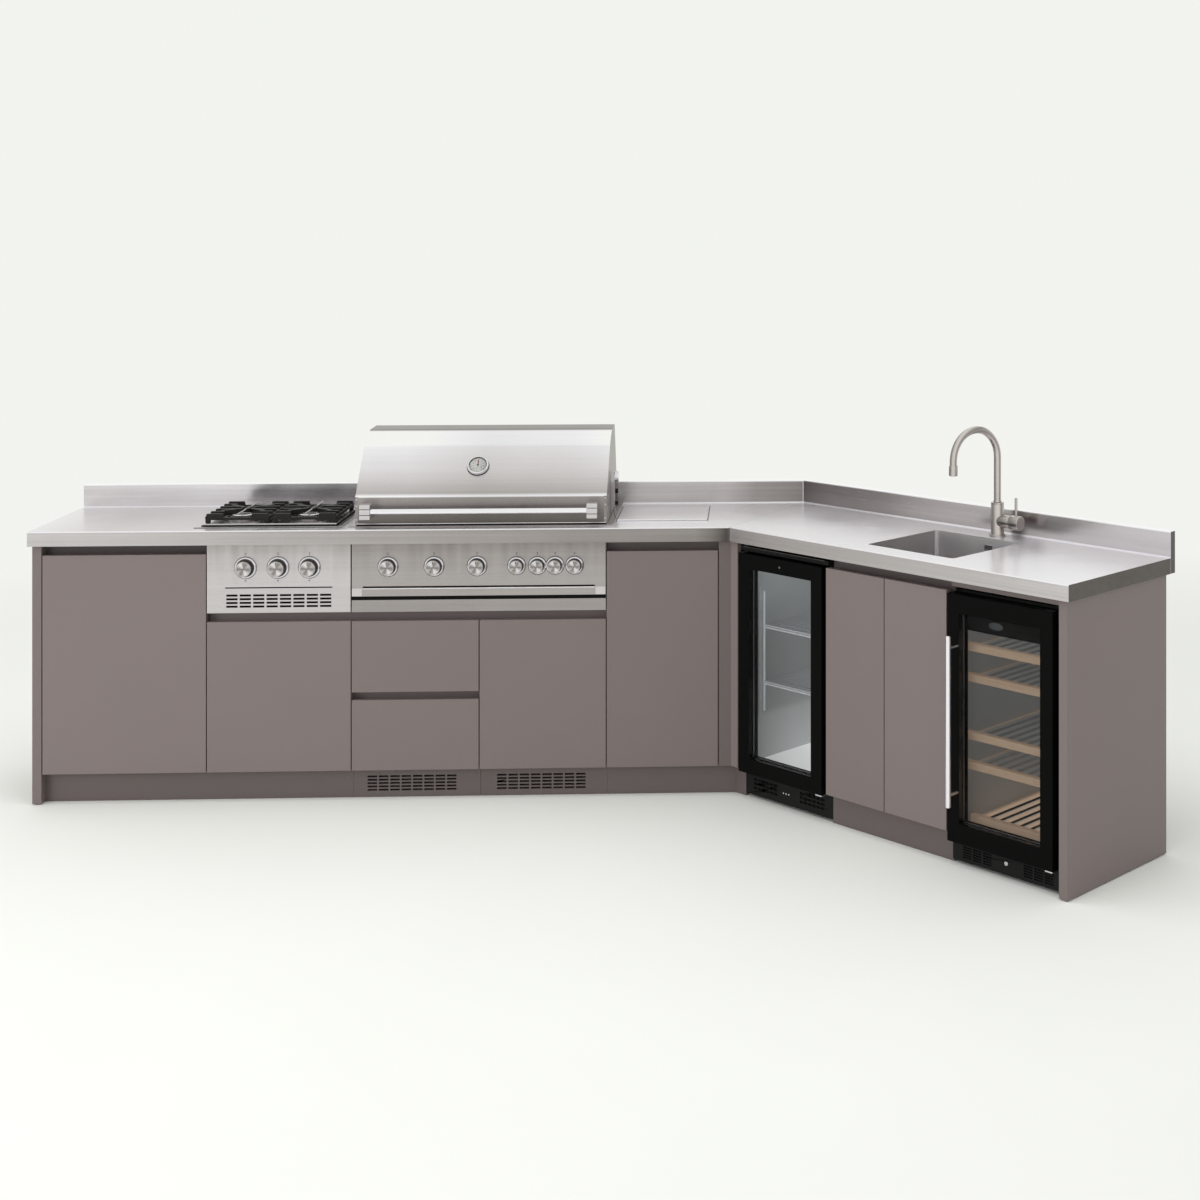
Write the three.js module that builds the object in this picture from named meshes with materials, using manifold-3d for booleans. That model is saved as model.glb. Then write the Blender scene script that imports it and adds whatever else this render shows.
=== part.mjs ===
// Outdoor kitchen with a turned corner: a cooking run and a sink leg under one steel worktop.
// Units are millimetres, +Z is up and the cooking run faces -Y.
// Places are first measured from the floor under the inner front corner of the worktop:
// x runs along a front, negative on the cooking run and positive on the leg.
// y runs into the depth.

import * as THREE from 'three';
import { mergeVertices } from 'three/addons/utils/BufferGeometryUtils.js';
import Module from 'manifold-3d';

const wasm = await Module();
wasm.setup();

// Fits and cuts
const seatGap = 0.3;
const cutOver = 6;
const shaftPlay = 0.4;

// Worktop and upstand
const cornerTurnDegrees = 45;
const counterHeight = 900;
const edgeHeight = 48;
const runDepth = 520;
const legDepth = 560;
const upstandHeight = 80;
const upstandThick = 25;
const upstandWall = 2;
const worktopSheet = 2;

// Modules of the cooking run, from the corner to the left end
const runFiller = 35;
const cornerCabinetWidth = 374;
const grillCabinetWidth = 841;
const hobCabinetWidth = 473;
const leftCabinetWidth = 535;
const endPanelThick = 30;
const endOverhang = 12;

// Modules of the leg, from the corner to the right end
const legFiller = 30;
const fridgeBayWidth = 395;
const sinkCabinetWidth = 495;
const wineBayWidth = 408;

// Fronts, carcasses and plinths
const frontSetback = 12;
const frontThick = 19;
const frontGap = 3;
const bufferGap = 0.8;
const board = 18;
const backSetback = 30;
const plinthHeight = 100;
const plinthSetback = 50;
const plinthThick = 16;
const glideHeight = 4;
const glideRadius = 10;
const glideInset = 40;
const footRadius = 16;
const footInset = 60;
const footFrontInset = 80;
const shelfHeight = 470;
const shelfFrontInset = 30;
const fillerFlange = 60;
const fillerFlangeThick = 3;
const runnerHeight = 8;
const runnerWidth = 20;

// Finger channels behind the top edges of the fronts
const topGripHeight = 32;
const hobGripHeight = 30;
const grillGripHeight = 30;
const drawerGripHeight = 26;
const gripDepth = 22;
const gripWall = 3;
const gripDrop = 30;

// Drawers and drip tray
const lowerDrawerShare = 0.4971;
const drawerBoxBackRoom = 108;
const drawerBoxHeadroom = 75;
const drawerWall = 12;
const drawerSideGap = 13;
const trayFrontHeight = 40;
const trayGap = 12;
const trayBackRoom = 108;
const trayHeight = 25;
const trayWall = 1.5;
const traySideGap = 3;
const trayRunnerHeight = 2;
const trayFrontThick = 6;

// Control panels and knobs
const hobPanelHeight = 226;
const grillPanelHeight = 175;
const panelSheet = 2;
const panelReturn = 19.5;
const panelEndGap = 2;
const knobDrop = 125;
const bezelHeight = 6;
const bezelLip = 4;
const hobBezelRadius = 35;
const mainBezelRadius = 32;
const smallBezelRadius = 29;
const hobKnobRadius = 25;
const mainKnobRadius = 24;
const smallKnobRadius = 21.5;
const knobLength = 24;
const knobCrown = 3;
const knobGap = 0.5;
const knobShaftRadius = 4;
const knobShaftLength = 18;
const pointerWidth = 2.4;
const pointerDepth = 1.4;
const hobKnobShares = [0.268, 0.494, 0.713];
const mainKnobShares = [0.142, 0.323, 0.492];
const smallKnobShares = [0.648, 0.73, 0.8, 0.877];
const airSlotHeight = 5;
const airSlotTop = 142;
const airSlotInset = 36;
const hobVentWidth = 350;
const hobVentHeight = 49;
const hobVentFoot = 15;
const hobVentColumns = 8;
const hobVentRows = 4;
const hobSlotHeight = 4;
const hobSlotRise = 66;
const ventShare = 0.84;
const ventRowShare = 0.56;

// Hob
const hobTrayWidth = 485;
const hobTrayBackRoom = 135;
const hobTrayFront = 52;
const hobTrayRightGap = 40;
const hobSheet = 2;
const hobPlateInset = 22;
const hobPlateRise = 8;
const hobBoxWidth = 380;
const hobBoxRightInset = 30;
const hobBoxInset = 23;
const hobBoxDrop = 52;
const burnerRadius = 37;
const burnerBaseRadius = 48;
const burnerBaseHeight = 8;
const burnerCrownHeight = 10;
const burnerThroatRadius = 20;
const burnerFrontShare = 0.33;
const burnerLeftShare = 0.27;
const burnerRightShare = 0.73;
const supportWidth = 212;
const supportInset = 32.5;
const supportBar = 10;
const supportBarHeight = 12;
const supportRise = 19;
const supportFootWidth = 22;
const supportFinger = 78;
const supportFingerInset = 26;

// Grill
const fireboxWidth = 800;
const fireboxFront = 78;
const fireboxBackRoom = 54;
const fireboxDrop = 185;
const fireboxSheet = 2;
const greaseSlotWidth = 500;
const greaseSlotDepth = 40;
const flangeWidth = 880;
const flangeFront = 50;
const flangeBackRoom = 34;
const backPlateRise = 68;
const rearBurnerWidth = 540;
const rearBurnerRise = 15;
const rearBurnerHeight = 48;
const rearBurnerThick = 12;
const grateDrop = 20;
const grateBar = 8;
const grateBarCount = 22;
const grateGap = 4;
const grateLedge = 14;
const burnerTubeRadius = 11;
const burnerTubeCount = 6;
const burnerTubeBackRoom = 36;
const burnerTubeInset = 90;
const gasPipeRadius = 9;
const gasPipeSetback = 50;
const valveWidth = 24;
const valveFront = 34.5;
const valveHeight = 26;
const earThick = 5;
const earGap = 1;
const earDepth = 35;
const earTopMargin = 10;
const hingePinRadius = 6;
const hingePinProud = 3;
const bracketThick = 4;
const bracketOut = 10;
const bracketDepth = 32;
const bracketPlace = 230;
const bracketRise = 150;
const spitBossRadius = 19;
const spitBossLength = 12;
const spitHeight = 133;
const clampKnobRadius = 8;
const clampKnobLength = 10;
const clampHeightShares = [0.62, 0.3];

// Hood
const hoodWidth = 836;
const hoodSheet = 2;
const hoodFront = 60;
const hoodFloat = 6;
const hoodBandHeight = 92;
const hoodSlopeShare = 0.3373;
const hoodSlopeRise = 152;
const hoodCrownShare = 0.2651;
const hoodCrownRise = 46;
const hoodTopShare = 0.2048;
const hoodTopRise = 2;
const hoodBackRoom = 45;
const hoodRearEdgeRise = 110;
const hingeBackRoom = 65;
const hingeRise = 100;
const hoodHeelBackRoom = 70;
const crownSteps = 6;
const handleRise = 57;
const handleReach = 50;
const handleRadius = 9;
const handlePostInset = 44;
const handlePostWidth = 36;
const handlePostHeight = 50;
const handlePostNose = 14;
const gaugeShift = -23;
const gaugeRise = 187;
const gaugeRadius = 36;
const gaugeDepth = 14;
const gaugeLip = 4;
const gaugeStemRadius = 5;
const gaugeStemLength = 60;

// Inset lid and tub
const lidSideGap = 24;
const lidWidth = 310;
const lidFront = 130;
const lidBackRoom = 90;
const lidThick = 12;
const lidPlay = 1.5;
const lidLipHeight = 5;
const lidLipDepth = 12;
const tubDepth = 150;
const tubSheet = 1.5;
const tubRim = 9;

// Sink and tap
const sinkStart = 540;
const sinkWidth = 350;
const sinkFront = 80;
const sinkBackRoom = 130;
const sinkDrop = 190;
const sinkSheet = 1.5;
const sinkCornerRadius = 12;
const drainRadius = 42;
const overflowWidth = 34;
const overflowHeight = 16;
const overflowDrop = 32;
const overflowShare = 0.62;
const wasteFlange = 50;
const wasteFlangeThick = 2;
const tailRadius = 20;
const trapRadius = 32;
const trapHeight = 110;
const trapDrop = 190;
const outletRadius = 16;
const tapAlong = 755;
const tapBackRoom = 82;
const tapBodyRadius = 21;
const tapBodyHeight = 109;
const tapHoleRadius = 17;
const tapShankRadius = 16;
const tapShankLength = 62;
const spoutRadius = 12;
const spoutPlugRadius = 9;
const spoutPlugLength = 14;
const neckRise = 146;
const spoutReach = 190;
const spoutDrop = 18;
const nozzleRadius = 14;
const nozzleLength = 34;
const spoutSwingDegrees = 10;
const spoutSteps = 8;
const cartridgeRise = 50;
const cartridgeRadius = 20;
const cartridgeReach = 56;
const leverCapRadius = 23;
const leverCapLength = 38;
const leverPinRadius = 4.5;
const leverPinLength = 58;

// Drinks fridge
const fridgeDoorInset = 2;
const fridgeDoorWidth = 376;
const fridgeDoorFoot = 92;
const fridgeDoorDrop = 82;
const applianceDoorThick = 45;
const fridgeFrameWidth = 47;
const fridgeWindowFoot = 49;
const glassThick = 18;
const glassInset = 1;
const fridgeWall = 30;
const fridgeFootHeight = 10;
const fridgeBaseFront = 50;
const fridgeBaseTop = 88;
const fridgeTrimHeight = 14;
const fridgeTrimDrop = 14;
const fridgeTrimReach = 30;
const hollowFoot = 120;
const hollowHeadroom = 30;
const compressorDepth = 150;
const compressorHeight = 150;
const wireRod = 5;
const wireShelfFront = 98;
const wireShelfShares = [0.3847, 0.6677];
const wireRodCount = 7;
const ladderFootShare = 0.2395;
const ladderTopShare = 0.8383;
const fridgeVentColumns = 6;
const fridgeVentRows = 3;
const fridgeVentWidth = 112;
const fridgeVentHeight = 42;
const fridgeVentInset = 36;
const fridgeVentFoot = 28;

// Wine cooler
const wineDoorInset = 2;
const wineDoorWidth = 384;
const wineDoorFoot = 73;
const wineDoorDrop = 88;
const wineFrameWidth = 44;
const wineWindowFoot = 58;
const wineWindowHead = 56;
const wineBodyDrop = 82;
const wineBaseTop = 69;
const wineBaseFront = 42;
const wineHollowFoot = 104;
const wineHollowHeadroom = 118;
const wineShelfShares = [0.0201, 0.2987, 0.448, 0.7383, 0.8926];
const wineRailHeight = 24;
const wineRailThick = 18;
const wineShelfFront = 66;
const wineSlatWidth = 22;
const wineSlatThick = 12;
const wineSlatCount = 4;
const wineLadder = 4;
const wineHandleRadius = 8;
const wineHandleFootRoom = 116;
const wineHandleHeadroom = 115;
const wineHandleInset = 38;
const wineHandleReach = 42;
const wineHandlePostRadius = 5;
const wineHandlePostInset = 36;
const wineRailDrop = 23;
const wineRailSetback = 36;
const wineVentColumns = 3;
const wineVentRows = 5;
const wineVentWidth = 112;
const wineVentHeight = 38;
const wineVentInset = 36;
const wineVentFoot = 20;

// Plinth grilles
const plinthVentWidth = 300;
const plinthVentShares = [0.229, 0.739];
const seamWidth = 1;
const seamDepth = 3;
const plinthVentHeight = 56;
const plinthVentFoot = 18;
const plinthVentColumns = 8;
const plinthVentRows = 5;

// Steps of round pieces
const roundSides = 20;
const smallRoundSides = 10;
const footSides = 8;

// Worked-out places
const turn = THREE.MathUtils.degToRad(cornerTurnDegrees);
const undersideZ = counterHeight - edgeHeight;
const carcassTop = undersideZ - seatGap;
const frontBack = frontSetback + frontThick;
const carcassFront = frontBack + bufferGap;
const runBack = runDepth - backSetback;
const legBack = legDepth - backSetback;
const cornerCabinetX = [-runFiller - cornerCabinetWidth, -runFiller];
const grillCabinetX = [cornerCabinetX[0] - grillCabinetWidth, cornerCabinetX[0]];
const hobCabinetX = [grillCabinetX[0] - hobCabinetWidth, grillCabinetX[0]];
const leftCabinetX = [hobCabinetX[0] - leftCabinetWidth, hobCabinetX[0]];
const leftPanelX = [leftCabinetX[0] - endPanelThick, leftCabinetX[0]];
const runEnd = leftPanelX[0] - endOverhang;
const fridgeBayX = [legFiller, legFiller + fridgeBayWidth];
const sinkCabinetX = [fridgeBayX[1], fridgeBayX[1] + sinkCabinetWidth];
const wineBayX = [sinkCabinetX[1], sinkCabinetX[1] + wineBayWidth];
const rightPanelX = [wineBayX[1], wineBayX[1] + endPanelThick];
const legEnd = rightPanelX[1] + endOverhang;
const grillCentre = (grillCabinetX[0] + grillCabinetX[1]) / 2;
const topFrontZ = undersideZ - topGripHeight;
const hobPanelZ = [carcassTop - hobPanelHeight, carcassTop];
const hobFrontZ = hobPanelZ[0] - hobGripHeight;
const grillPanelZ = [carcassTop - grillPanelHeight, carcassTop];
const trayFrontZ = [grillPanelZ[0] - trayGap - trayFrontHeight, grillPanelZ[0] - trayGap];
const grillFrontZ = trayFrontZ[0] - grillGripHeight;
const lowerDrawerTop = plinthHeight
  + (grillFrontZ - plinthHeight - drawerGripHeight) * lowerDrawerShare;
const upperDrawerFoot = lowerDrawerTop + drawerGripHeight;
const flangeZ = [counterHeight + seatGap, counterHeight + seatGap + fireboxSheet];
const knobHeight = counterHeight - knobDrop;
const hoodRear = runDepth - hoodBackRoom;
const hoodDepth = hoodRear - hoodFront;
const hoodSlopeRun = hoodDepth * hoodSlopeShare;
const hoodCrownRun = hoodDepth * hoodCrownShare;
const hoodTopRun = hoodDepth * hoodTopShare;
const hoodHeelSetback = runDepth - hoodHeelBackRoom;
const hingeSetback = runDepth - hingeBackRoom;
const tapInto = legDepth - tapBackRoom;
const fridgeDoorTop = counterHeight - fridgeDoorDrop;
const wineDoorTop = counterHeight - wineDoorDrop;
const wineBodyTop = counterHeight - wineBodyDrop;
const fridgeHollowZ = [hollowFoot, fridgeDoorTop - hollowHeadroom];
const wineHollowZ = [wineHollowFoot, wineBodyTop - wineHollowHeadroom];

// Finishes, measured by eye from the photograph
function finish(color, roughness, metalness) {
  return new THREE.MeshStandardMaterial({ color, roughness, metalness });
}

const steel = finish(0xb9b7b4, 0.32, 1);
const darkSteel = finish(0x8d8a87, 0.4, 1);
const taupe = finish(0x817874, 0.55, 0.1);
const taupeDark = finish(0x5f5855, 0.6, 0.1);
const blackGloss = finish(0x0c0c0d, 0.18, 0.2);
const castIron = finish(0x1c1c1d, 0.7, 0.4);
const glass = finish(0x8f9699, 0.05, 0);
const beech = finish(0xb49b87, 0.6, 0);
const plastic = finish(0x4a4a4b, 0.6, 0);

// Solid helpers
function outward(geometry) {
  const place = geometry.attributes.position;
  const corners = geometry.index.array;
  const a = new THREE.Vector3();
  const b = new THREE.Vector3();
  const c = new THREE.Vector3();
  let volume = 0;
  for (let i = 0; i < corners.length; i += 3) {
    a.fromBufferAttribute(place, corners[i]);
    b.fromBufferAttribute(place, corners[i + 1]);
    c.fromBufferAttribute(place, corners[i + 2]);
    volume += a.dot(b.cross(c));
  }
  if (volume < 0) {
    for (let i = 0; i < corners.length; i += 3) {
      const kept = corners[i];
      corners[i] = corners[i + 1];
      corners[i + 1] = kept;
    }
  }
  return geometry;
}

// Turned pieces meet their axis in triangles without area; those are left out
function withoutSlivers(geometry) {
  const corners = geometry.index.array;
  const kept = [];
  for (let i = 0; i < corners.length; i += 3) {
    const [a, b, c] = [corners[i], corners[i + 1], corners[i + 2]];
    if (a !== b && b !== c && c !== a) {
      kept.push(a, b, c);
    }
  }
  geometry.setIndex(kept);
  return geometry;
}

function solid(geometry) {
  geometry.deleteAttribute('normal');
  geometry.deleteAttribute('uv');
  const merged = outward(withoutSlivers(mergeVertices(geometry)));
  return new wasm.Manifold(new wasm.Mesh({
    numProp: 3,
    vertProperties: Float32Array.from(merged.attributes.position.array),
    triVerts: Uint32Array.from(merged.index.array),
  }));
}

function fuse(...parts) {
  return parts.flat().reduce((whole, part) => whole.add(part));
}

function carve(body, ...tools) {
  return tools.flat().reduce((whole, tool) => whole.subtract(tool), body);
}

function block(x, y, z) {
  const geometry = new THREE.BoxGeometry(x[1] - x[0], y[1] - y[0], z[1] - z[0]);
  geometry.translate((x[0] + x[1]) / 2, (y[0] + y[1]) / 2, (z[0] + z[1]) / 2);
  return solid(geometry);
}

function around(middle, size) {
  return [middle - size / 2, middle + size / 2];
}

function plan(points, z) {
  const outline = new THREE.Shape(points.map((point) => new THREE.Vector2(point[0], point[1])));
  const geometry = new THREE.ExtrudeGeometry(outline, { depth: z[1] - z[0], bevelEnabled: false });
  geometry.translate(0, 0, z[0]);
  return solid(geometry);
}

// A side outline in (y, z), drawn out along x
function profile(points, x) {
  const outline = new THREE.Shape(points.map((point) => new THREE.Vector2(point[0], point[1])));
  const geometry = new THREE.ExtrudeGeometry(outline, { depth: x[1] - x[0], bevelEnabled: false });
  geometry.applyMatrix4(new THREE.Matrix4().set(0, 0, 1, 0, 1, 0, 0, 0, 0, 1, 0, 0, 0, 0, 0, 1));
  geometry.translate(x[0], 0, 0);
  return solid(geometry);
}

function rodX(radius, x, y, z, sides = smallRoundSides) {
  const geometry = new THREE.CylinderGeometry(radius, radius, x[1] - x[0], sides);
  geometry.rotateZ(Math.PI / 2);
  geometry.translate((x[0] + x[1]) / 2, y, z);
  return solid(geometry);
}

function rodY(radius, x, y, z, sides = smallRoundSides) {
  const geometry = new THREE.CylinderGeometry(radius, radius, y[1] - y[0], sides);
  geometry.translate(x, (y[0] + y[1]) / 2, z);
  return solid(geometry);
}

function rodZ(radius, x, y, z, sides = smallRoundSides) {
  const geometry = new THREE.CylinderGeometry(radius, radius, z[1] - z[0], sides);
  geometry.rotateX(Math.PI / 2);
  geometry.translate(x, y, (z[0] + z[1]) / 2);
  return solid(geometry);
}

// A turned piece on an axis along y: points are [radius, y]
function turnedY(points, x, z, sides = roundSides) {
  const geometry = new THREE.LatheGeometry(points.map((p) => new THREE.Vector2(p[0], p[1])), sides);
  geometry.translate(x, 0, z);
  return solid(geometry);
}

function turnedZ(points, x, y, sides = roundSides) {
  const geometry = new THREE.LatheGeometry(points.map((p) => new THREE.Vector2(p[0], p[1])), sides);
  geometry.rotateX(Math.PI / 2);
  geometry.translate(x, y, 0);
  return solid(geometry);
}

function slots(x, z, columns, rows, y) {
  const cuts = [];
  const pitch = (x[1] - x[0]) / columns;
  const rowPitch = (z[1] - z[0]) / rows;
  for (let column = 0; column < columns; column += 1) {
    for (let row = 0; row < rows; row += 1) {
      const middleX = x[0] + pitch * (column + 0.5);
      const middleZ = z[0] + rowPitch * (row + 0.5);
      const slotX = around(middleX, pitch * ventShare);
      cuts.push(block(slotX, y, around(middleZ, rowPitch * ventRowShare)));
    }
  }
  return cuts;
}

const kitchen = new THREE.Group();
const legGroup = new THREE.Group();
legGroup.rotation.z = -turn;
kitchen.add(legGroup);

function place(group, name, material, body) {
  const shape = body.getMesh();
  const geometry = new THREE.BufferGeometry();
  const corners = Float32Array.from(shape.vertProperties);
  geometry.setAttribute('position', new THREE.BufferAttribute(corners, 3));
  geometry.setIndex(Array.from(shape.triVerts));
  geometry.computeVertexNormals();
  const mesh = new THREE.Mesh(geometry, material);
  mesh.name = name;
  group.add(mesh);
}

// Plan points on the leg, and lines that follow both fronts at one depth
function legPoint(x, y) {
  return [x * Math.cos(turn) + y * Math.sin(turn), y * Math.cos(turn) - x * Math.sin(turn)];
}

function cornerPoint(runY, legY) {
  return [(legY - runY * Math.cos(turn)) / Math.sin(turn), runY];
}

function bandPlan(startX, endX, runY, legY) {
  return [
    [startX, runY[0]],
    cornerPoint(runY[0], legY[0]),
    legPoint(endX, legY[0]),
    legPoint(endX, legY[1]),
    cornerPoint(runY[1], legY[1]),
    [startX, runY[1]],
  ];
}

// Worktop, with its openings, and the upstand along the wall side
const hobX = [grillCabinetX[0] - hobTrayRightGap - hobTrayWidth, grillCabinetX[0] - hobTrayRightGap];
const hobY = [hobTrayFront, runDepth - hobTrayBackRoom];
const hobBoxX = [hobX[1] - hobBoxRightInset - hobBoxWidth, hobX[1] - hobBoxRightInset];
const hobBoxY = [hobY[0] + hobBoxInset, hobY[1] - hobBoxInset];
const fireboxX = around(grillCentre, fireboxWidth);
const fireboxY = [fireboxFront, runDepth - fireboxBackRoom];
const lidX = [cornerCabinetX[0] + lidSideGap, cornerCabinetX[0] + lidSideGap + lidWidth];
const lidY = [lidFront, runDepth - lidBackRoom];
const sinkX = [sinkStart, sinkStart + sinkWidth];
const sinkY = [sinkFront, legDepth - sinkBackRoom];

function grown(range, by) {
  return [range[0] - by, range[1] + by];
}

function roundedPlan(x, y, radius) {
  const points = [];
  const centres = [
    [x[1] - radius, y[1] - radius, 0],
    [x[0] + radius, y[1] - radius, 1],
    [x[0] + radius, y[0] + radius, 2],
    [x[1] - radius, y[0] + radius, 3],
  ];
  const steps = 4;
  for (const [cx, cy, quarter] of centres) {
    for (let step = 0; step <= steps; step += 1) {
      const angle = (quarter + step / steps) * Math.PI / 2;
      points.push([cx + radius * Math.cos(angle), cy + radius * Math.sin(angle)]);
    }
  }
  return points;
}

function addWorktop() {
  const slabZ = [undersideZ, counterHeight];
  const through = grown(slabZ, cutOver);
  const runY = [0, runDepth - upstandThick - seatGap];
  const legY = [0, legDepth - upstandThick - seatGap];
  const slab = plan(bandPlan(runEnd, legEnd, runY, legY), slabZ);
  const sinkLine = roundedPlan(sinkX, sinkY, sinkCornerRadius);
  const sinkHole = plan(sinkLine.map((point) => legPoint(point[0], point[1])), through);
  const tapPlace = legPoint(tapAlong, tapInto);
  const tapHole = rodZ(tapHoleRadius, tapPlace[0], tapPlace[1], through, roundSides);
  const tapCollar = rodZ(tapBodyRadius, tapPlace[0], tapPlace[1], through, roundSides);
  const sinkWall = roundedPlan(
    grown(sinkX, worktopSheet),
    grown(sinkY, worktopSheet),
    sinkCornerRadius + worktopSheet,
  );
  const sinkCollar = plan(sinkWall.map((point) => legPoint(point[0], point[1])), through);
  const cutouts = [
    [grown(hobBoxX, seatGap), grown(hobBoxY, seatGap)],
    [grown(fireboxX, seatGap), grown(fireboxY, seatGap)],
    [lidX, lidY],
  ];
  const underside = plan(bandPlan(
    runEnd + worktopSheet,
    legEnd - worktopSheet,
    grown(runY, -worktopSheet),
    grown(legY, -worktopSheet),
  ), [undersideZ - cutOver, counterHeight - worktopSheet]);
  const collars = cutouts.map(
    ([x, y]) => block(grown(x, worktopSheet), grown(y, worktopSheet), through),
  );
  const trough = carve(underside, collars, sinkCollar, tapCollar);
  const holes = cutouts.map(([x, y]) => block(x, y, through));
  place(kitchen, 'worktop', steel, carve(slab, trough, holes, sinkHole, tapHole));

  const outerZ = [undersideZ, counterHeight + upstandHeight];
  const outerRun = [runDepth - upstandThick, runDepth];
  const outerLeg = [legDepth - upstandThick, legDepth];
  const outer = plan(bandPlan(runEnd, legEnd, outerRun, outerLeg), outerZ);
  const hollowZ = [undersideZ - cutOver, outerZ[1] - upstandWall];
  const hollow = plan(bandPlan(
    runEnd + upstandWall,
    legEnd - upstandWall,
    [outerRun[0] + upstandWall, outerRun[1] - upstandWall],
    [outerLeg[0] + upstandWall, outerLeg[1] - upstandWall],
  ), hollowZ);
  place(kitchen, 'upstand', steel, carve(outer, hollow));
}

// End panels on small glides; the right one carries the rail over the wine cooler
function endPanel(x, back) {
  const panel = block(x, [frontSetback, back], [glideHeight, carcassTop]);
  const middle = (x[0] + x[1]) / 2;
  const glides = [frontSetback + glideInset, back - glideInset].map(
    (y) => rodZ(glideRadius, middle, y, [0, glideHeight + gripWall], footSides),
  );
  return fuse(panel, glides);
}

function addEndPanels() {
  place(kitchen, 'end_panel_left', taupe, endPanel(leftPanelX, runBack));
  const rail = block(
    [wineBayX[0] + seatGap, wineBayX[1] + gripWall],
    [wineRailSetback, wineRailSetback + board],
    [carcassTop - wineRailDrop, carcassTop],
  );
  place(legGroup, 'end_panel_right', taupe, fuse(endPanel(rightPanelX, legBack), rail));
}

// A carcass is boards fused into one shell, with finger channels let into its front
function fingerChannel(x, z, closed) {
  const channelBack = carcassFront + gripDepth;
  const webTop = closed ? z[1] + gripWall : z[1];
  const walls = [
    block(x, [carcassFront, channelBack + gripWall], [z[0] - gripWall, z[0]]),
    block(x, [channelBack, channelBack + gripWall], [z[0] - gripWall, webTop]),
  ];
  if (closed) {
    walls.push(block(x, [carcassFront, channelBack + gripWall], [z[1], z[1] + gripWall]));
  }
  const room = block(grown(x, seatGap), [carcassFront - cutOver, channelBack], z);
  return { walls, room };
}

function carcass(x, back, boards) {
  const y = [carcassFront, back];
  const z = [plinthHeight, carcassTop];
  const shell = [
    block([x[0], x[0] + board], y, z),
    block([x[1] - board, x[1]], y, z),
    block(x, y, [z[0], z[0] + board]),
    block(x, [back - board, back], z),
    ...boards,
  ];
  for (const footX of [x[0] + footInset, x[1] - footInset]) {
    for (const footY of [carcassFront + footFrontInset, back - footInset]) {
      shell.push(rodZ(footRadius, footX, footY, [0, plinthHeight + gripWall], footSides));
    }
  }
  return fuse(shell);
}

function withChannels(shell, channels) {
  const cut = carve(shell, channels.map((channel) => channel.room));
  return fuse(cut, channels.map((channel) => channel.walls).flat());
}

function topChannel(x) {
  const channel = fingerChannel(x, [topFrontZ - gripDrop, carcassTop], false);
  const high = [topFrontZ - gripDrop, carcassTop + cutOver];
  channel.room = block(grown(x, seatGap), [carcassFront - cutOver, carcassFront + gripDepth], high);
  return channel;
}

function shelfBoard(x, back, z) {
  return block(x, [carcassFront + shelfFrontInset, back], [z, z + board]);
}

function moduleX(x) {
  return [x[0] + seatGap / 2, x[1] - seatGap / 2];
}

function addLeftCabinet() {
  const x = [leftCabinetX[0] + seatGap, leftCabinetX[1] - seatGap / 2];
  const shell = carcass(x, runBack, [shelfBoard(x, runBack, shelfHeight)]);
  place(kitchen, 'left_cabinet', taupeDark, withChannels(shell, [topChannel(x)]));
}

function addHobCabinet() {
  const x = moduleX(hobCabinetX);
  const shell = carcass(x, runBack, []);
  const channel = fingerChannel(x, [hobFrontZ - gripDrop, hobPanelZ[0]], true);
  place(kitchen, 'hob_cabinet', taupeDark, withChannels(shell, [channel]));
}

const dividerX = around(grillCentre, board);

function addGrillCabinet() {
  const x = moduleX(grillCabinetX);
  const deckTop = trayFrontZ[0] + gripWall;
  const inner = [x[0] + board, x[1] - board];
  const deckY = [carcassFront + gripDepth, runBack];
  const boards = [
    block(x, deckY, [deckTop - board, deckTop]),
    block(dividerX, [carcassFront, runBack], [plinthHeight, deckTop]),
  ];
  const runnerY = [carcassFront + gripDepth, runBack - board];
  const runnerFeet = [plinthHeight + board, upperDrawerFoot + gripWall];
  for (const foot of runnerFeet) {
    const runnerZ = [foot, foot + runnerHeight];
    boards.push(block([inner[0] - gripWall, inner[0] + runnerWidth], runnerY, runnerZ));
    boards.push(block([dividerX[0] - runnerWidth, dividerX[0] + gripWall], runnerY, runnerZ));
  }
  const trayRunnerZ = [deckTop - gripWall, deckTop + trayRunnerHeight];
  boards.push(block([inner[0] - gripWall, inner[0] + runnerWidth], runnerY, trayRunnerZ));
  boards.push(block([inner[1] - runnerWidth, inner[1] + gripWall], runnerY, trayRunnerZ));
  const upper = fingerChannel(x, [grillFrontZ - gripDrop, trayFrontZ[0]], true);
  const drawerX = [x[0], dividerX[1]];
  const middle = fingerChannel(drawerX, [lowerDrawerTop - gripDrop, upperDrawerFoot], true);
  const shell = carcass(x, runBack, boards);
  place(kitchen, 'grill_cabinet', taupeDark, withChannels(shell, [upper, middle]));
}

function addCornerCabinet() {
  const x = [cornerCabinetX[0] + seatGap / 2, cornerCabinetX[1]];
  place(kitchen, 'corner_cabinet', taupeDark, withChannels(carcass(x, runBack, []), [topChannel(x)]));
}

function addSinkCabinet() {
  const shell = carcass(sinkCabinetX, legBack, []);
  place(legGroup, 'sink_cabinet', taupeDark, withChannels(shell, [topChannel(sinkCabinetX)]));
}

// The corner post turns with the fronts and is screwed to the corner cabinet by its flange
function addCornerFiller() {
  const z = [plinthHeight, carcassTop];
  const flangeX = [cornerCabinetX[1] + seatGap, cornerCabinetX[1] + seatGap + fillerFlangeThick];
  const faceY = [frontSetback, frontBack];
  const face = plan(bandPlan(flangeX[0], legFiller - frontGap, faceY, faceY), z);
  const flange = block(flangeX, [frontSetback, frontBack + fillerFlange], z);
  place(kitchen, 'corner_filler', taupe, fuse(face, flange));
}

// Plinths
const plinthVentPlaces = placesOf(plinthVentShares, grillCabinetX);

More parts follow.
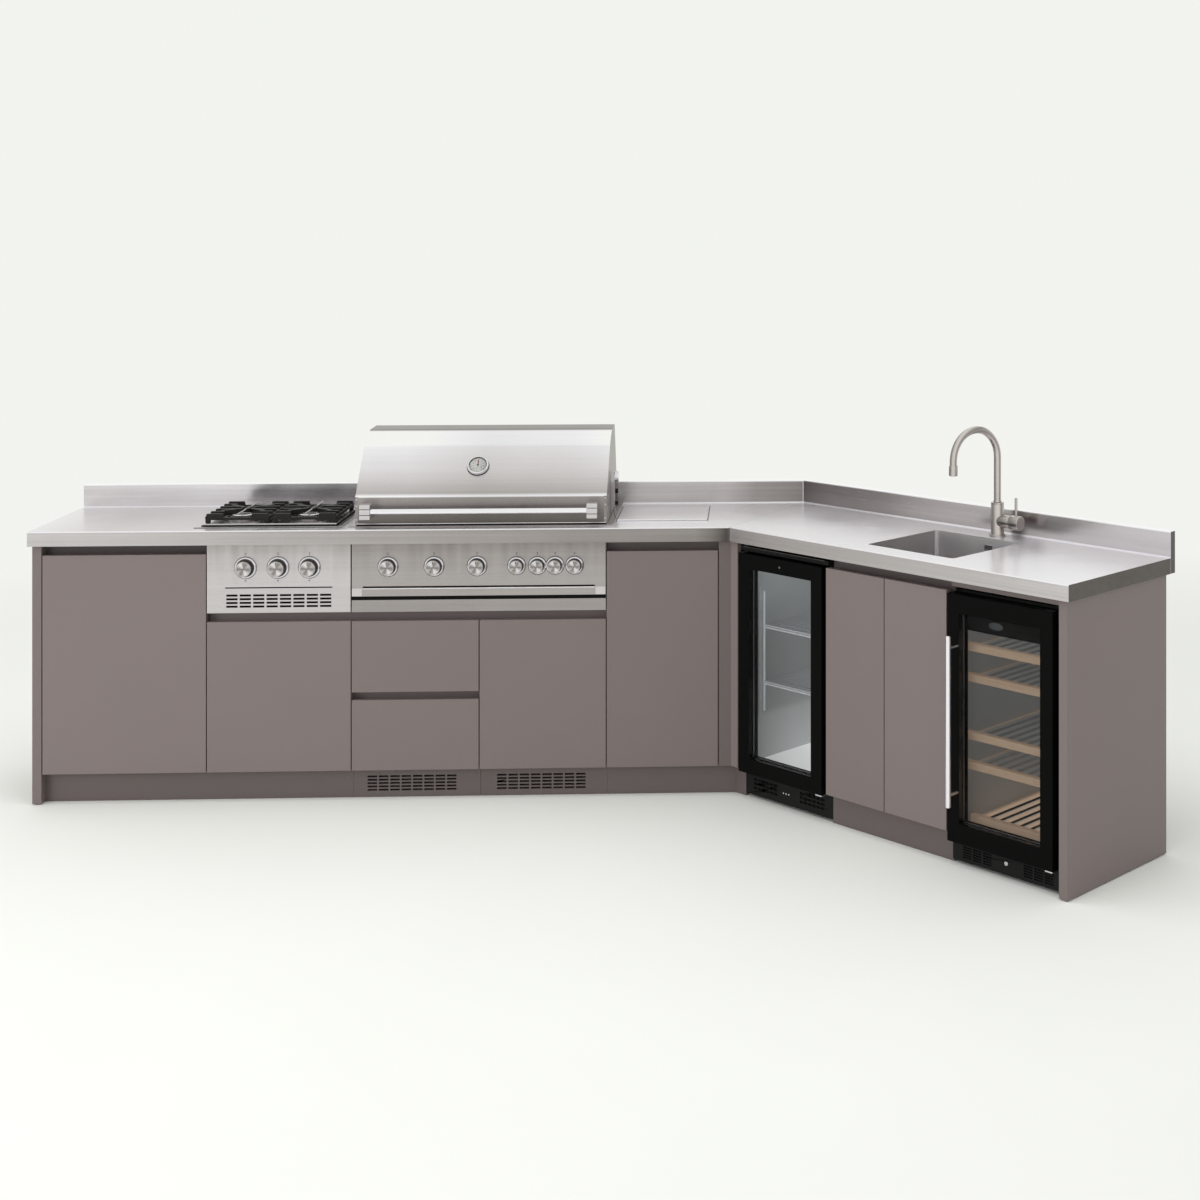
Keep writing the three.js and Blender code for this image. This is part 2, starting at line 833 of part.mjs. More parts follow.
function plinthBlock(x) {
  return block(x, [plinthSetback, plinthSetback + plinthThick], [0, plinthHeight - seatGap]);
}

function ventedPlinth() {
  const ventZ = [plinthVentFoot, plinthVentFoot + plinthVentHeight];
  const throughY = grown([plinthSetback, plinthSetback + plinthThick], cutOver);
  const grilles = plinthVentPlaces.map((x) => (
    slots(around(x, plinthVentWidth), ventZ, plinthVentColumns, plinthVentRows, throughY)
  ));
  const seam = block(
    around(grillCentre, seamWidth),
    [plinthSetback - cutOver, plinthSetback + seamDepth],
    [-cutOver, plinthHeight],
  );
  return carve(plinthBlock(moduleX(grillCabinetX)), grilles.flat(), seam);
}

function addPlinths() {
  const left = [leftPanelX[1] + seatGap, hobCabinetX[1] - seatGap / 2];
  place(kitchen, 'plinth_left', taupe, plinthBlock(left));
  place(kitchen, 'plinth_vents', taupe, ventedPlinth());
  const turned = [plinthSetback, plinthSetback + plinthThick];
  const corner = bandPlan(cornerCabinetX[0] + seatGap / 2, legFiller, turned, turned);
  place(kitchen, 'plinth_corner', taupe, plan(corner, [0, plinthHeight - seatGap]));
  place(legGroup, 'plinth_sink', taupe, plinthBlock(grown(sinkCabinetX, -seatGap)));
}

// Hinged fronts
function frontX(x) {
  return [x[0] + frontGap / 2, x[1] - frontGap / 2];
}

function frontBlock(x, z) {
  return block(x, [frontSetback, frontBack], z);
}

const leftDoorX = [leftCabinetX[0] + frontGap, leftCabinetX[1] - frontGap / 2];
const drawerFrontX = frontX([grillCabinetX[0], grillCentre]);
const grillDoorX = frontX([grillCentre, grillCabinetX[1]]);
const sinkMiddle = (sinkCabinetX[0] + sinkCabinetX[1]) / 2;

function addDoors() {
  place(kitchen, 'door_left', taupe, frontBlock(leftDoorX, [plinthHeight, topFrontZ]));
  place(kitchen, 'door_hob', taupe, frontBlock(frontX(hobCabinetX), [plinthHeight, hobFrontZ]));
  place(kitchen, 'door_grill', taupe, frontBlock(grillDoorX, [plinthHeight, grillFrontZ]));
  const cornerX = [cornerCabinetX[0] + frontGap / 2, cornerCabinetX[1] - frontGap];
  place(kitchen, 'door_corner', taupe, frontBlock(cornerX, [plinthHeight, topFrontZ]));
  const leftX = [sinkCabinetX[0] + frontGap, sinkMiddle - frontGap / 2];
  const rightX = [sinkMiddle + frontGap / 2, sinkCabinetX[1] - frontGap / 2];
  place(legGroup, 'sink_door_left', taupe, frontBlock(leftX, [plinthHeight, topFrontZ]));
  place(legGroup, 'sink_door_right', taupe, frontBlock(rightX, [plinthHeight, topFrontZ]));
}

// Drawers: a front fixed to an open box that slides on runners
function drawer(frontZ, foot) {
  const x = [grillCabinetX[0] + board + drawerSideGap, dividerX[0] - drawerSideGap];
  const y = [frontSetback + drawerWall, runDepth - drawerBoxBackRoom];
  const z = [foot, foot + frontZ[1] - frontZ[0] - drawerBoxHeadroom];
  const sides = [
    block([x[0], x[0] + drawerWall], y, z),
    block([x[1] - drawerWall, x[1]], y, z),
    block(x, [y[1] - drawerWall, y[1]], z),
    block(x, y, [z[0], z[0] + drawerWall]),
  ];
  return fuse(frontBlock(drawerFrontX, frontZ), sides);
}

function addDrawers() {
  const upperFoot = upperDrawerFoot + gripWall + runnerHeight + seatGap;
  const lowerFoot = plinthHeight + board + runnerHeight + seatGap;
  place(kitchen, 'drawer_upper', taupe, drawer([upperDrawerFoot, grillFrontZ], upperFoot));
  place(kitchen, 'drawer_lower', taupe, drawer([plinthHeight, lowerDrawerTop], lowerFoot));
}

// Drip tray under the grill
function addDripTray() {
  const frontRange = frontX(grillCabinetX);
  const face = block(frontRange, [frontSetback, frontSetback + trayFrontThick], trayFrontZ);
  const x = grown(grillCabinetX, -(board + traySideGap));
  const y = [frontSetback + trayWall, runDepth - trayBackRoom];
  const foot = trayFrontZ[0] + gripWall + trayRunnerHeight + seatGap;
  const pan = block(x, y, [foot, foot + trayHeight]);
  const room = block(
    grown(x, -trayWall),
    [frontSetback + trayFrontThick, y[1] - trayWall],
    [foot + trayWall, foot + trayHeight + cutOver],
  );
  place(kitchen, 'drip_tray', steel, fuse(face, carve(pan, room)));
}

// Control panels: folded steel fronts with raised bezels round the shaft holes
function foldedPanel(x, z) {
  const y = [frontSetback, frontSetback + panelReturn];
  const hollow = block(
    grown(x, -panelSheet),
    [frontSetback + panelSheet, y[1] + cutOver],
    grown(z, -panelSheet),
  );
  return carve(block(x, y, z), hollow);
}

function bezel(x, radius) {
  const face = frontSetback - bezelHeight;
  return turnedY([
    [0, frontSetback + panelSheet / 2],
    [radius, frontSetback + panelSheet / 2],
    [radius, face + bezelHeight / 2],
    [radius - bezelLip, face],
    [0, face],
  ], x, knobHeight);
}

function shaftHole(x) {
  const y = [frontSetback - bezelHeight - cutOver, frontSetback + panelSheet + cutOver];
  return rodY(knobShaftRadius + shaftPlay, x, y, knobHeight);
}

function placesOf(shares, x) {
  return shares.map((share) => x[0] + (x[1] - x[0]) * share);
}

const hobPanelX = grown(hobCabinetX, -panelEndGap);
const grillPanelX = grown(grillCabinetX, -panelEndGap);
const hobKnobPlaces = placesOf(hobKnobShares, hobPanelX);
const mainKnobPlaces = placesOf(mainKnobShares, grillPanelX);
const smallKnobPlaces = placesOf(smallKnobShares, grillPanelX);

function addHobPanel() {
  const ventX = around((hobPanelX[0] + hobPanelX[1]) / 2, hobVentWidth);
  const ventFoot = hobPanelZ[0] + hobVentFoot;
  const ventZ = [ventFoot, ventFoot + hobVentHeight];
  const throughY = [frontSetback - cutOver, frontSetback + panelSheet + cutOver];
  const slotZ = [ventFoot + hobSlotRise, ventFoot + hobSlotRise + hobSlotHeight];
  const body = carve(
    fuse(foldedPanel(hobPanelX, hobPanelZ), hobKnobPlaces.map((x) => bezel(x, hobBezelRadius))),
    hobKnobPlaces.map(shaftHole),
    block(ventX, throughY, slotZ),
    slots(ventX, ventZ, hobVentColumns, hobVentRows, throughY),
  );
  place(kitchen, 'hob_control_panel', steel, body);
}

function addGrillPanel() {
  const slotTop = grillPanelZ[1] - airSlotTop;
  const slot = block(
    grown(grillPanelX, -airSlotInset),
    [frontSetback - cutOver, frontSetback + panelSheet + cutOver],
    [slotTop - airSlotHeight, slotTop],
  );
  const body = carve(
    fuse(
      foldedPanel(grillPanelX, grillPanelZ),
      mainKnobPlaces.map((x) => bezel(x, mainBezelRadius)),
      smallKnobPlaces.map((x) => bezel(x, smallBezelRadius)),
    ),
    [...mainKnobPlaces, ...smallKnobPlaces].map(shaftHole),
    slot,
  );
  place(kitchen, 'grill_control_panel', steel, body);
}

function knob(x, radius) {
  const foot = frontSetback - bezelHeight - knobGap;
  const face = foot - knobLength;
  const body = turnedY([
    [0, foot],
    [radius, foot],
    [radius, face + knobCrown],
    [radius - knobCrown, face],
    [0, face],
  ], x, knobHeight);
  const shaft = rodY(knobShaftRadius, x, [foot - knobCrown, foot + knobShaftLength], knobHeight);
  const pointer = block(
    around(x, pointerWidth),
    [face - cutOver, face + pointerDepth],
    [knobHeight + radius / 2, knobHeight + radius + cutOver],
  );
  return carve(fuse(body, shaft), pointer);
}

function addKnobs() {
  hobKnobPlaces.forEach((x, i) => {
    place(kitchen, `hob_knob_${i + 1}`, steel, knob(x, hobKnobRadius));
  });
  mainKnobPlaces.forEach((x, i) => {
    place(kitchen, `grill_knob_${i + 1}`, steel, knob(x, mainKnobRadius));
  });
  smallKnobPlaces.forEach((x, i) => {
    const number = mainKnobPlaces.length + i + 1;
    place(kitchen, `grill_knob_${number}`, steel, knob(x, smallKnobRadius));
  });
}

// Hob: a tray with its burner box let through the worktop, two burners and two pan supports
const plateTop = counterHeight + seatGap + hobSheet + hobPlateRise;
const burnerY = hobY[0] + (hobY[1] - hobY[0]) * burnerFrontShare;
const burnerPlaces = placesOf([burnerLeftShare, burnerRightShare], hobX);

function addHobTray() {
  const rimZ = [counterHeight + seatGap, counterHeight + seatGap + hobSheet];
  const rim = block(hobX, hobY, rimZ);
  const plateX = grown(hobX, -hobPlateInset);
  const plateY = grown(hobY, -hobPlateInset);
  const plate = block(plateX, plateY, [rimZ[0], plateTop]);
  const box = block(hobBoxX, hobBoxY, [counterHeight - hobBoxDrop, rimZ[1]]);
  const room = block(
    grown(hobBoxX, -hobSheet),
    grown(hobBoxY, -hobSheet),
    [counterHeight - hobBoxDrop - cutOver, plateTop - hobSheet],
  );
  const baseTop = plateTop + burnerBaseHeight;
  const crownTop = baseTop + burnerCrownHeight;
  const burners = burnerPlaces.map((x) => turnedZ([
    [0, plateTop - hobSheet / 2],
    [burnerBaseRadius, plateTop - hobSheet / 2],
    [burnerBaseRadius, baseTop],
    [burnerRadius, baseTop],
    [burnerRadius, crownTop],
    [burnerThroatRadius, crownTop],
    [burnerThroatRadius, baseTop],
    [0, baseTop],
  ], x, burnerY));
  place(kitchen, 'hob_tray', steel, fuse(carve(fuse(rim, plate, box), room), burners));
}

function panSupport(x, y) {
  const footZ = plateTop + seatGap;
  const barZ = [footZ + supportRise, footZ + supportRise + supportBarHeight];
  const parts = [];
  for (const sideX of [[x[0], x[0] + supportBar], [x[1] - supportBar, x[1]]]) {
    parts.push(block(sideX, y, barZ));
    for (const footY of [[y[0], y[0] + supportFootWidth], [y[1] - supportFootWidth, y[1]]]) {
      parts.push(block(sideX, footY, [footZ, barZ[1]]));
    }
  }
  const middleY = (y[0] + y[1]) / 2;
  const middleX = (x[0] + x[1]) / 2;
  parts.push(block(x, around(middleY, supportBar), barZ));
  parts.push(block(x, [y[1] - supportBar, y[1]], barZ));
  for (const fingerY of [y[0] + supportFingerInset, y[1] - supportFinger]) {
    parts.push(block([x[0], x[0] + supportFinger], around(fingerY, supportBar), barZ));
    parts.push(block([x[1] - supportFinger, x[1]], around(fingerY, supportBar), barZ));
  }
  parts.push(block(around(middleX, supportBar), [middleY, y[1]], barZ));
  return fuse(parts);
}

function addPanSupports() {
  const y = grown(hobY, -supportInset);
  burnerPlaces.forEach((x, i) => {
    const side = i === 0 ? 'left' : 'right';
    place(kitchen, `pan_support_${side}`, castIron, panSupport(around(x, supportWidth), y));
  });
}

// Grill body: a steel firebox hung by its flange, with hinge ears and spit brackets
const hoodX = around(grillCentre, hoodWidth);
const hingeZ = counterHeight + hingeRise;

function spitBracket(x) {
  return block(x, [bracketPlace, bracketPlace + bracketDepth], [flangeZ[0], flangeZ[1] + bracketRise]);
}

function addFirebox() {
  const floorZ = counterHeight - fireboxDrop;
  const flange = block(
    around(grillCentre, flangeWidth),
    [flangeFront, runDepth - flangeBackRoom],
    flangeZ,
  );
  const tub = block(fireboxX, fireboxY, [floorZ, flangeZ[1]]);
  const room = block(
    grown(fireboxX, -fireboxSheet),
    grown(fireboxY, -fireboxSheet),
    [floorZ + fireboxSheet, flangeZ[1] + cutOver],
  );
  const grease = block(
    around(grillCentre, greaseSlotWidth),
    around((fireboxY[0] + fireboxY[1]) / 2, greaseSlotDepth),
    grown([floorZ, floorZ + fireboxSheet], cutOver),
  );
  const ledgeZ = [grateFoot - seatGap - fireboxSheet, grateFoot - seatGap];
  const innerX = grown(fireboxX, -fireboxSheet / 2);
  const ledges = [
    block(innerX, [fireboxY[0] + fireboxSheet / 2, fireboxY[0] + grateLedge], ledgeZ),
    block(innerX, [fireboxY[1] - grateLedge, fireboxY[1] - fireboxSheet / 2], ledgeZ),
  ];
  const backPlate = block(
    grown(fireboxX, -earThick),
    [fireboxY[1] - fireboxSheet, fireboxY[1]],
    [flangeZ[0], flangeZ[1] + backPlateRise],
  );
  const rearBurner = block(
    around(grillCentre, rearBurnerWidth),
    [fireboxY[1] - rearBurnerThick, fireboxY[1]],
    [flangeZ[1] + rearBurnerRise, flangeZ[1] + rearBurnerRise + rearBurnerHeight],
  );
  const earY = around(hingeSetback - earDepth / 3, earDepth);
  const earZ = [flangeZ[0], hingeZ + earTopMargin];
  const earIn = hoodSheet + earGap;
  const leftEar = [hoodX[0] + earIn, hoodX[0] + earIn + earThick];
  const rightEar = [hoodX[1] - earIn - earThick, hoodX[1] - earIn];
  const ears = [block(leftEar, earY, earZ), block(rightEar, earY, earZ)];
  const pins = [
    rodX(hingePinRadius, [hoodX[0] - hingePinProud, leftEar[1]], hingeSetback, hingeZ),
    rodX(hingePinRadius, [rightEar[0], hoodX[1] + hingePinProud], hingeSetback, hingeZ),
  ];
  const leftBracket = [hoodX[0] - bracketOut - bracketThick, hoodX[0] - bracketOut];
  const rightBracket = [hoodX[1] + bracketOut, hoodX[1] + bracketOut + bracketThick];
  const bracketMiddle = bracketPlace + bracketDepth / 2;
  const bossX = [rightBracket[0] + bracketThick / 2, rightBracket[1] + spitBossLength];
  const clampX = [rightBracket[0] + bracketThick / 2, rightBracket[1] + clampKnobLength];
  const fittings = [
    spitBracket(leftBracket),
    spitBracket(rightBracket),
    rodX(spitBossRadius, bossX, bracketMiddle, flangeZ[1] + spitHeight, roundSides),
    ...clampHeightShares.map((share) => rodX(
      clampKnobRadius, clampX, bracketMiddle, flangeZ[1] + spitHeight * share,
    )),
  ];
  const tubeHoles = tubePlaces.map((x) => rodY(
    burnerTubeRadius + shaftPlay,
    x,
    grown([fireboxY[0], fireboxY[0] + fireboxSheet], cutOver),
    knobHeight,
  ));
  const shell = carve(fuse(flange, tub), room, grease, tubeHoles);
  const body = fuse(shell, ledges, backPlate, rearBurner, ears, pins, fittings);
  place(kitchen, 'grill_firebox', darkSteel, body);
}

const grateTop = counterHeight - grateDrop;
const grateFoot = grateTop - grateBar;
const tubeSpan = grown(fireboxX, -burnerTubeInset);
const tubePlaces = Array.from({ length: burnerTubeCount }, (_, i) => (
  tubeSpan[0] + (tubeSpan[1] - tubeSpan[0]) * i / (burnerTubeCount - 1)
));

function addBurners() {
  const tubes = tubePlaces.map((x) => rodY(
    burnerTubeRadius, x, [gasPipeSetback, fireboxY[1] - burnerTubeBackRoom], knobHeight,
  ));
  const knobPlaces = [...mainKnobPlaces, ...smallKnobPlaces];
  const valves = knobPlaces.map((x) => block(
    around(x, valveWidth), [valveFront, gasPipeSetback], around(knobHeight, valveHeight),
  ));
  const fed = [...tubePlaces, ...knobPlaces];
  const pipeX = [Math.min(...fed), Math.max(...fed)];
  const pipe = rodX(gasPipeRadius, grown(pipeX, gasPipeRadius), gasPipeSetback, knobHeight);
  place(kitchen, 'grill_burners', darkSteel, fuse(pipe, tubes, valves));
}

function addGrates() {
  const x = grown(fireboxX, -(fireboxSheet + grateGap));
  const y = grown(fireboxY, -(fireboxSheet + seatGap));
  const z = [grateFoot, grateTop];
  const bars = [
    block(x, [y[0], y[0] + grateBar], z),
    block(x, [y[1] - grateBar, y[1]], z),
  ];
  for (let i = 0; i < grateBarCount; i += 1) {
    const middle = x[0] + grateBar / 2 + (x[1] - x[0] - grateBar) * i / (grateBarCount - 1);
    bars.push(block(around(middle, grateBar), y, z));
  }
  place(kitchen, 'cooking_grate', darkSteel, fuse(bars));
}

// Hood: one folded shell from the front edge over the crown to the rear edge, with two side cheeks
function hoodOutline(inset) {
  const footZ = counterHeight + hoodFloat;
  const crease = [hoodFront, footZ + hoodBandHeight];
  const slopeTop = [crease[0] + hoodSlopeRun, crease[1] + hoodSlopeRise];
  const crown = [slopeTop[0] + hoodCrownRun, slopeTop[1] + hoodCrownRise];
  const top = [crown[0] + hoodTopRun, crown[1] + hoodTopRise];
  const rear = [hoodRear, counterHeight + hoodRearEdgeRise];
  const bend = new THREE.QuadraticBezierCurve(
    new THREE.Vector2(...slopeTop),
    new THREE.Vector2(slopeTop[0] + hoodCrownRun / 2, crown[1]),
    new THREE.Vector2(...crown),
  );
  const arc = bend.getPoints(crownSteps).map((point) => [point.x, point.y]);
  const over = [[hoodFront, footZ], crease, ...arc, top, rear];
  const middle = [(hoodFront + hoodRear) / 2, footZ + hoodBandHeight];
  if (inset === 0) {
    return { over, foot: [hoodHeelSetback, footZ] };
  }
  const inner = over.map((point, i) => {
    const before = over[Math.max(i - 1, 0)];
    const after = over[Math.min(i + 1, over.length - 1)];
    const along = new THREE.Vector2(after[0] - before[0], after[1] - before[1]).normalize();
    const normal = new THREE.Vector2(along.y, -along.x);
    const toMiddle = new THREE.Vector2(middle[0] - point[0], middle[1] - point[1]);
    const inward = normal.dot(toMiddle) > 0 ? 1 : -1;
    return [point[0] + normal.x * inset * inward, point[1] + normal.y * inset * inward];
  });
  return { over: inner, foot: [hoodHeelSetback, footZ] };
}

const slopeAngle = Math.atan2(hoodSlopeRise, hoodSlopeRun);
const gaugeUp = gaugeRise - hoodFloat - hoodBandHeight;
const gaugeSpot = [hoodFront + gaugeUp * hoodSlopeRun / hoodSlopeRise, counterHeight + gaugeRise];

function onSlope(geometry) {
  geometry.rotateX(slopeAngle);
  geometry.translate(grillCentre + gaugeShift, gaugeSpot[0], gaugeSpot[1]);
  return solid(geometry);
}

function addHood() {
  const outer = hoodOutline(0);
  const inner = hoodOutline(hoodSheet);
  const shellLine = [...outer.over, ...inner.over.slice().reverse()];
  const shell = profile(shellLine, hoodX);
  const cheekLine = [...outer.over, outer.foot];
  const cheeks = [
    profile(cheekLine, [hoodX[0], hoodX[0] + hoodSheet]),
    profile(cheekLine, [hoodX[1] - hoodSheet, hoodX[1]]),
  ];
  const pinHole = rodX(hingePinRadius + shaftPlay, grown(hoodX, cutOver), hingeSetback, hingeZ);
  const stemHole = onSlope(new THREE.CylinderGeometry(
    gaugeStemRadius + shaftPlay, gaugeStemRadius + shaftPlay, gaugeDepth, smallRoundSides,
  ).rotateX(Math.PI / 2));
  place(kitchen, 'hood', steel, carve(fuse(shell, cheeks), pinHole, stemHole));

  const barZ = counterHeight + handleRise;
  const barY = hoodFront - handleReach;
  const postX = [hoodX[0] + handlePostInset, hoodX[1] - handlePostInset];
  const bar = rodX(handleRadius, postX, barY, barZ, roundSides);
  const posts = postX.map((x) => block(
    around(x, handlePostWidth),
    [barY - handlePostNose, hoodFront - seatGap],
    around(barZ, handlePostHeight),
  ));
  place(kitchen, 'hood_handle', steel, fuse(bar, posts));

  const gauge = onSlope(new THREE.LatheGeometry([
    [0, -gaugeStemLength],
    [gaugeStemRadius, -gaugeStemLength],
    [gaugeStemRadius, seatGap],
    [gaugeRadius, seatGap],
    [gaugeRadius, gaugeDepth],
    [gaugeRadius - gaugeLip, gaugeDepth],
    [gaugeRadius - gaugeLip, gaugeDepth - gaugeLip],
    [0, gaugeDepth - gaugeLip],
  ].map(([radius, along]) => new THREE.Vector2(radius, along)), roundSides).rotateX(Math.PI / 2));
  place(kitchen, 'hood_thermometer', steel, gauge);
}

// Inset lid, hinged at its rear edge, over a small steel tub
function addLidAndTub() {
  const tubX = grown(lidX, -seatGap);
  const tubY = grown(lidY, -seatGap);
  const rimTop = counterHeight - lidThick - seatGap;
  const tubZ = [rimTop - tubDepth, rimTop];
  const roomX = grown(tubX, -tubSheet);
  const roomY = grown(tubY, -tubSheet);
  const room = block(roomX, roomY, [tubZ[0] + tubSheet, rimTop - tubSheet]);
  const mouthZ = [rimTop - tubDepth / 2, rimTop + cutOver];
  const mouth = block(grown(tubX, -tubRim), grown(tubY, -tubRim), mouthZ);
  place(kitchen, 'worktop_tub', steel, carve(block(tubX, tubY, tubZ), room, mouth));

  const plateX = grown(lidX, -lidPlay);
  const plateY = grown(lidY, -lidPlay);
  const lid = block(plateX, plateY, [counterHeight - lidThick, counterHeight]);
  const lipY = [plateY[0], plateY[0] + lidLipDepth];
  const lip = block(plateX, lipY, [counterHeight - lidThick, counterHeight + lidLipHeight]);
  const underLid = block(
    grown(plateX, -worktopSheet),
    grown(plateY, -worktopSheet),
    [counterHeight - lidThick - cutOver, counterHeight - worktopSheet],
  );
  place(kitchen, 'worktop_lid', steel, carve(fuse(lid, lip), underLid));
}

// Sink bowl, its waste and trap
const sinkMiddleX = (sinkX[0] + sinkX[1]) / 2;
const sinkMiddleY = (sinkY[0] + sinkY[1]) / 2;
const bowlFloor = counterHeight - sinkDrop;

function sinkRod(radius, z) {
  return rodZ(radius, sinkMiddleX, sinkMiddleY, z, roundSides);
}

function addSink() {
  const bowlX = grown(sinkX, -seatGap);
  const bowlY = grown(sinkY, -seatGap);
  const outer = plan(roundedPlan(bowlX, bowlY, sinkCornerRadius), [bowlFloor, counterHeight]);
  const room = plan(
    roundedPlan(grown(bowlX, -sinkSheet), grown(bowlY, -sinkSheet), sinkCornerRadius - sinkSheet),
    [bowlFloor + sinkSheet, counterHeight + cutOver],
  );
  const drain = sinkRod(drainRadius, grown([bowlFloor, bowlFloor + sinkSheet], cutOver));
  const overflow = block(
    around(sinkX[0] + sinkWidth * overflowShare, overflowWidth),
    grown([bowlY[1] - sinkSheet, bowlY[1]], cutOver),
    around(counterHeight - overflowDrop, overflowHeight),
  );
  place(legGroup, 'sink_bowl', steel, carve(outer, room, drain, overflow));

  const flangeFoot = bowlFloor + sinkSheet + seatGap;
  const flangeTop = flangeFoot + wasteFlangeThick;
  const throatRadius = drainRadius - shaftPlay;
  const strainerFloor = bowlFloor - trapRadius / 2;
  const cup = carve(
    fuse(
      sinkRod(wasteFlange, [flangeFoot, flangeTop]),
      sinkRod(throatRadius, [bowlFloor - trapRadius, flangeTop]),
    ),
    sinkRod(throatRadius - sinkSheet, [strainerFloor, flangeFoot + cutOver]),
  );
  const trapZ = [bowlFloor - trapDrop - trapHeight, bowlFloor - trapDrop];
  const tail = sinkRod(tailRadius, [trapZ[1] - trapRadius, strainerFloor - sinkSheet]);
  const outletY = [sinkMiddleY, legBack - board - seatGap];
  const outlet = rodY(outletRadius, sinkMiddleX, outletY, trapZ[1] - outletRadius - cutOver);
  place(legGroup, 'sink_waste', plastic, fuse(cup, tail, sinkRod(trapRadius, trapZ), outlet));
}

// Tap: body with a side cartridge, a swivelling spout and a side lever
function addTap() {
  const bodyTop = counterHeight + seatGap + tapBodyHeight;
  const cartridgeZ = counterHeight + cartridgeRise;
  const plugZ = [bodyTop - spoutPlugLength - seatGap, bodyTop + cutOver];
  const plugRoom = rodZ(spoutPlugRadius + shaftPlay, tapAlong, tapInto, plugZ, roundSides);
  const shankZ = [counterHeight - tapShankLength, counterHeight + tapBodyRadius];
  const body = fuse(
    rodZ(tapBodyRadius, tapAlong, tapInto, [counterHeight + seatGap, bodyTop], roundSides),
    rodZ(tapShankRadius, tapAlong, tapInto, shankZ, roundSides),
    rodX(cartridgeRadius, [tapAlong, tapAlong + cartridgeReach], tapInto, cartridgeZ, roundSides),
  );
  place(legGroup, 'tap_body', darkSteel, carve(body, plugRoom));

  const spoutFoot = bodyTop + seatGap;
  const swing = THREE.MathUtils.degToRad(spoutSwingDegrees);
  const radius = spoutReach / 2;
  const along = [-Math.sin(swing), -Math.cos(swing)];
  const path = [];
  path.push(new THREE.Vector3(0, 0, 0));
  path.push(new THREE.Vector3(0, 0, neckRise / 2));
  for (let step = 0; step <= spoutSteps; step += 1) {
    const angle = Math.PI * step / spoutSteps;
    const out = radius * (1 - Math.cos(angle));
    path.push(new THREE.Vector3(along[0] * out, along[1] * out, neckRise + radius * Math.sin(angle)));
  }
  path.push(new THREE.Vector3(along[0] * spoutReach, along[1] * spoutReach, neckRise - spoutDrop));
  const ring = new THREE.Shape();
  ring.absarc(0, 0, spoutRadius, 0, Math.PI * 2, false);
  const tube = new THREE.ExtrudeGeometry(ring, {
    steps: spoutSteps * 2,
    curveSegments: smallRoundSides / 2,
    bevelEnabled: false,
    extrudePath: new THREE.CatmullRomCurve3(path),
  });
  tube.translate(tapAlong, tapInto, spoutFoot);
  const nozzleX = tapAlong + along[0] * spoutReach;
  const nozzleY = tapInto + along[1] * spoutReach;
  const nozzleTop = spoutFoot + neckRise - spoutDrop + nozzleRadius / 2;
  const spout = fuse(
    solid(tube),
    rodZ(nozzleRadius, nozzleX, nozzleY, [nozzleTop - nozzleLength, nozzleTop], roundSides),
    rodZ(spoutPlugRadius, tapAlong, tapInto, around(spoutFoot, spoutPlugLength * 2)),
  );
  place(legGroup, 'tap_spout', darkSteel, spout);

  const capFoot = tapAlong + cartridgeReach + seatGap;
  const capX = [capFoot, capFoot + leverCapLength];
  const pinX = (capX[0] + capX[1]) / 2;
  const lever = fuse(
    rodX(leverCapRadius, capX, tapInto, cartridgeZ, roundSides),
    rodZ(leverPinRadius, pinX, tapInto, [cartridgeZ, cartridgeZ + leverCapRadius + leverPinLength]),
  );
  place(legGroup, 'tap_lever', darkSteel, lever);
}

// Appliance doors: a frame with a window that holds one glass unit
function applianceDoor(x, z, windowX, windowZ) {
  const y = [frontSetback, frontSetback + applianceDoorThick];
  const frame = carve(block(x, y, z), block(windowX, grown(y, cutOver), windowZ));
  const glassY = [y[0] + glassInset, y[0] + glassInset + glassThick];
  const pane = block(grown(windowX, -seatGap), glassY, grown(windowZ, -seatGap));
  return { frame, pane };
}

const applianceFront = frontSetback + applianceDoorThick + bufferGap;

function ladderRods(x, y, z, rod) {
  const rods = [];
  for (const rodX0 of [x[0], x[1] - rod]) {
    for (const rodY0 of [y[0], y[1] - rod]) {
      rods.push(block([rodX0, rodX0 + rod], [rodY0, rodY0 + rod], z));
    }
  }
  return rods;
}

function applianceFeet(x, y) {
  return [x[0] + footInset, x[1] - footInset].flatMap((footX) => (
    [y[0] + footInset, y[1] - footInset].map(
      (footY) => rodZ(footRadius, footX, footY, [0, fridgeFootHeight + gripWall], footSides),
    )
  ));
}

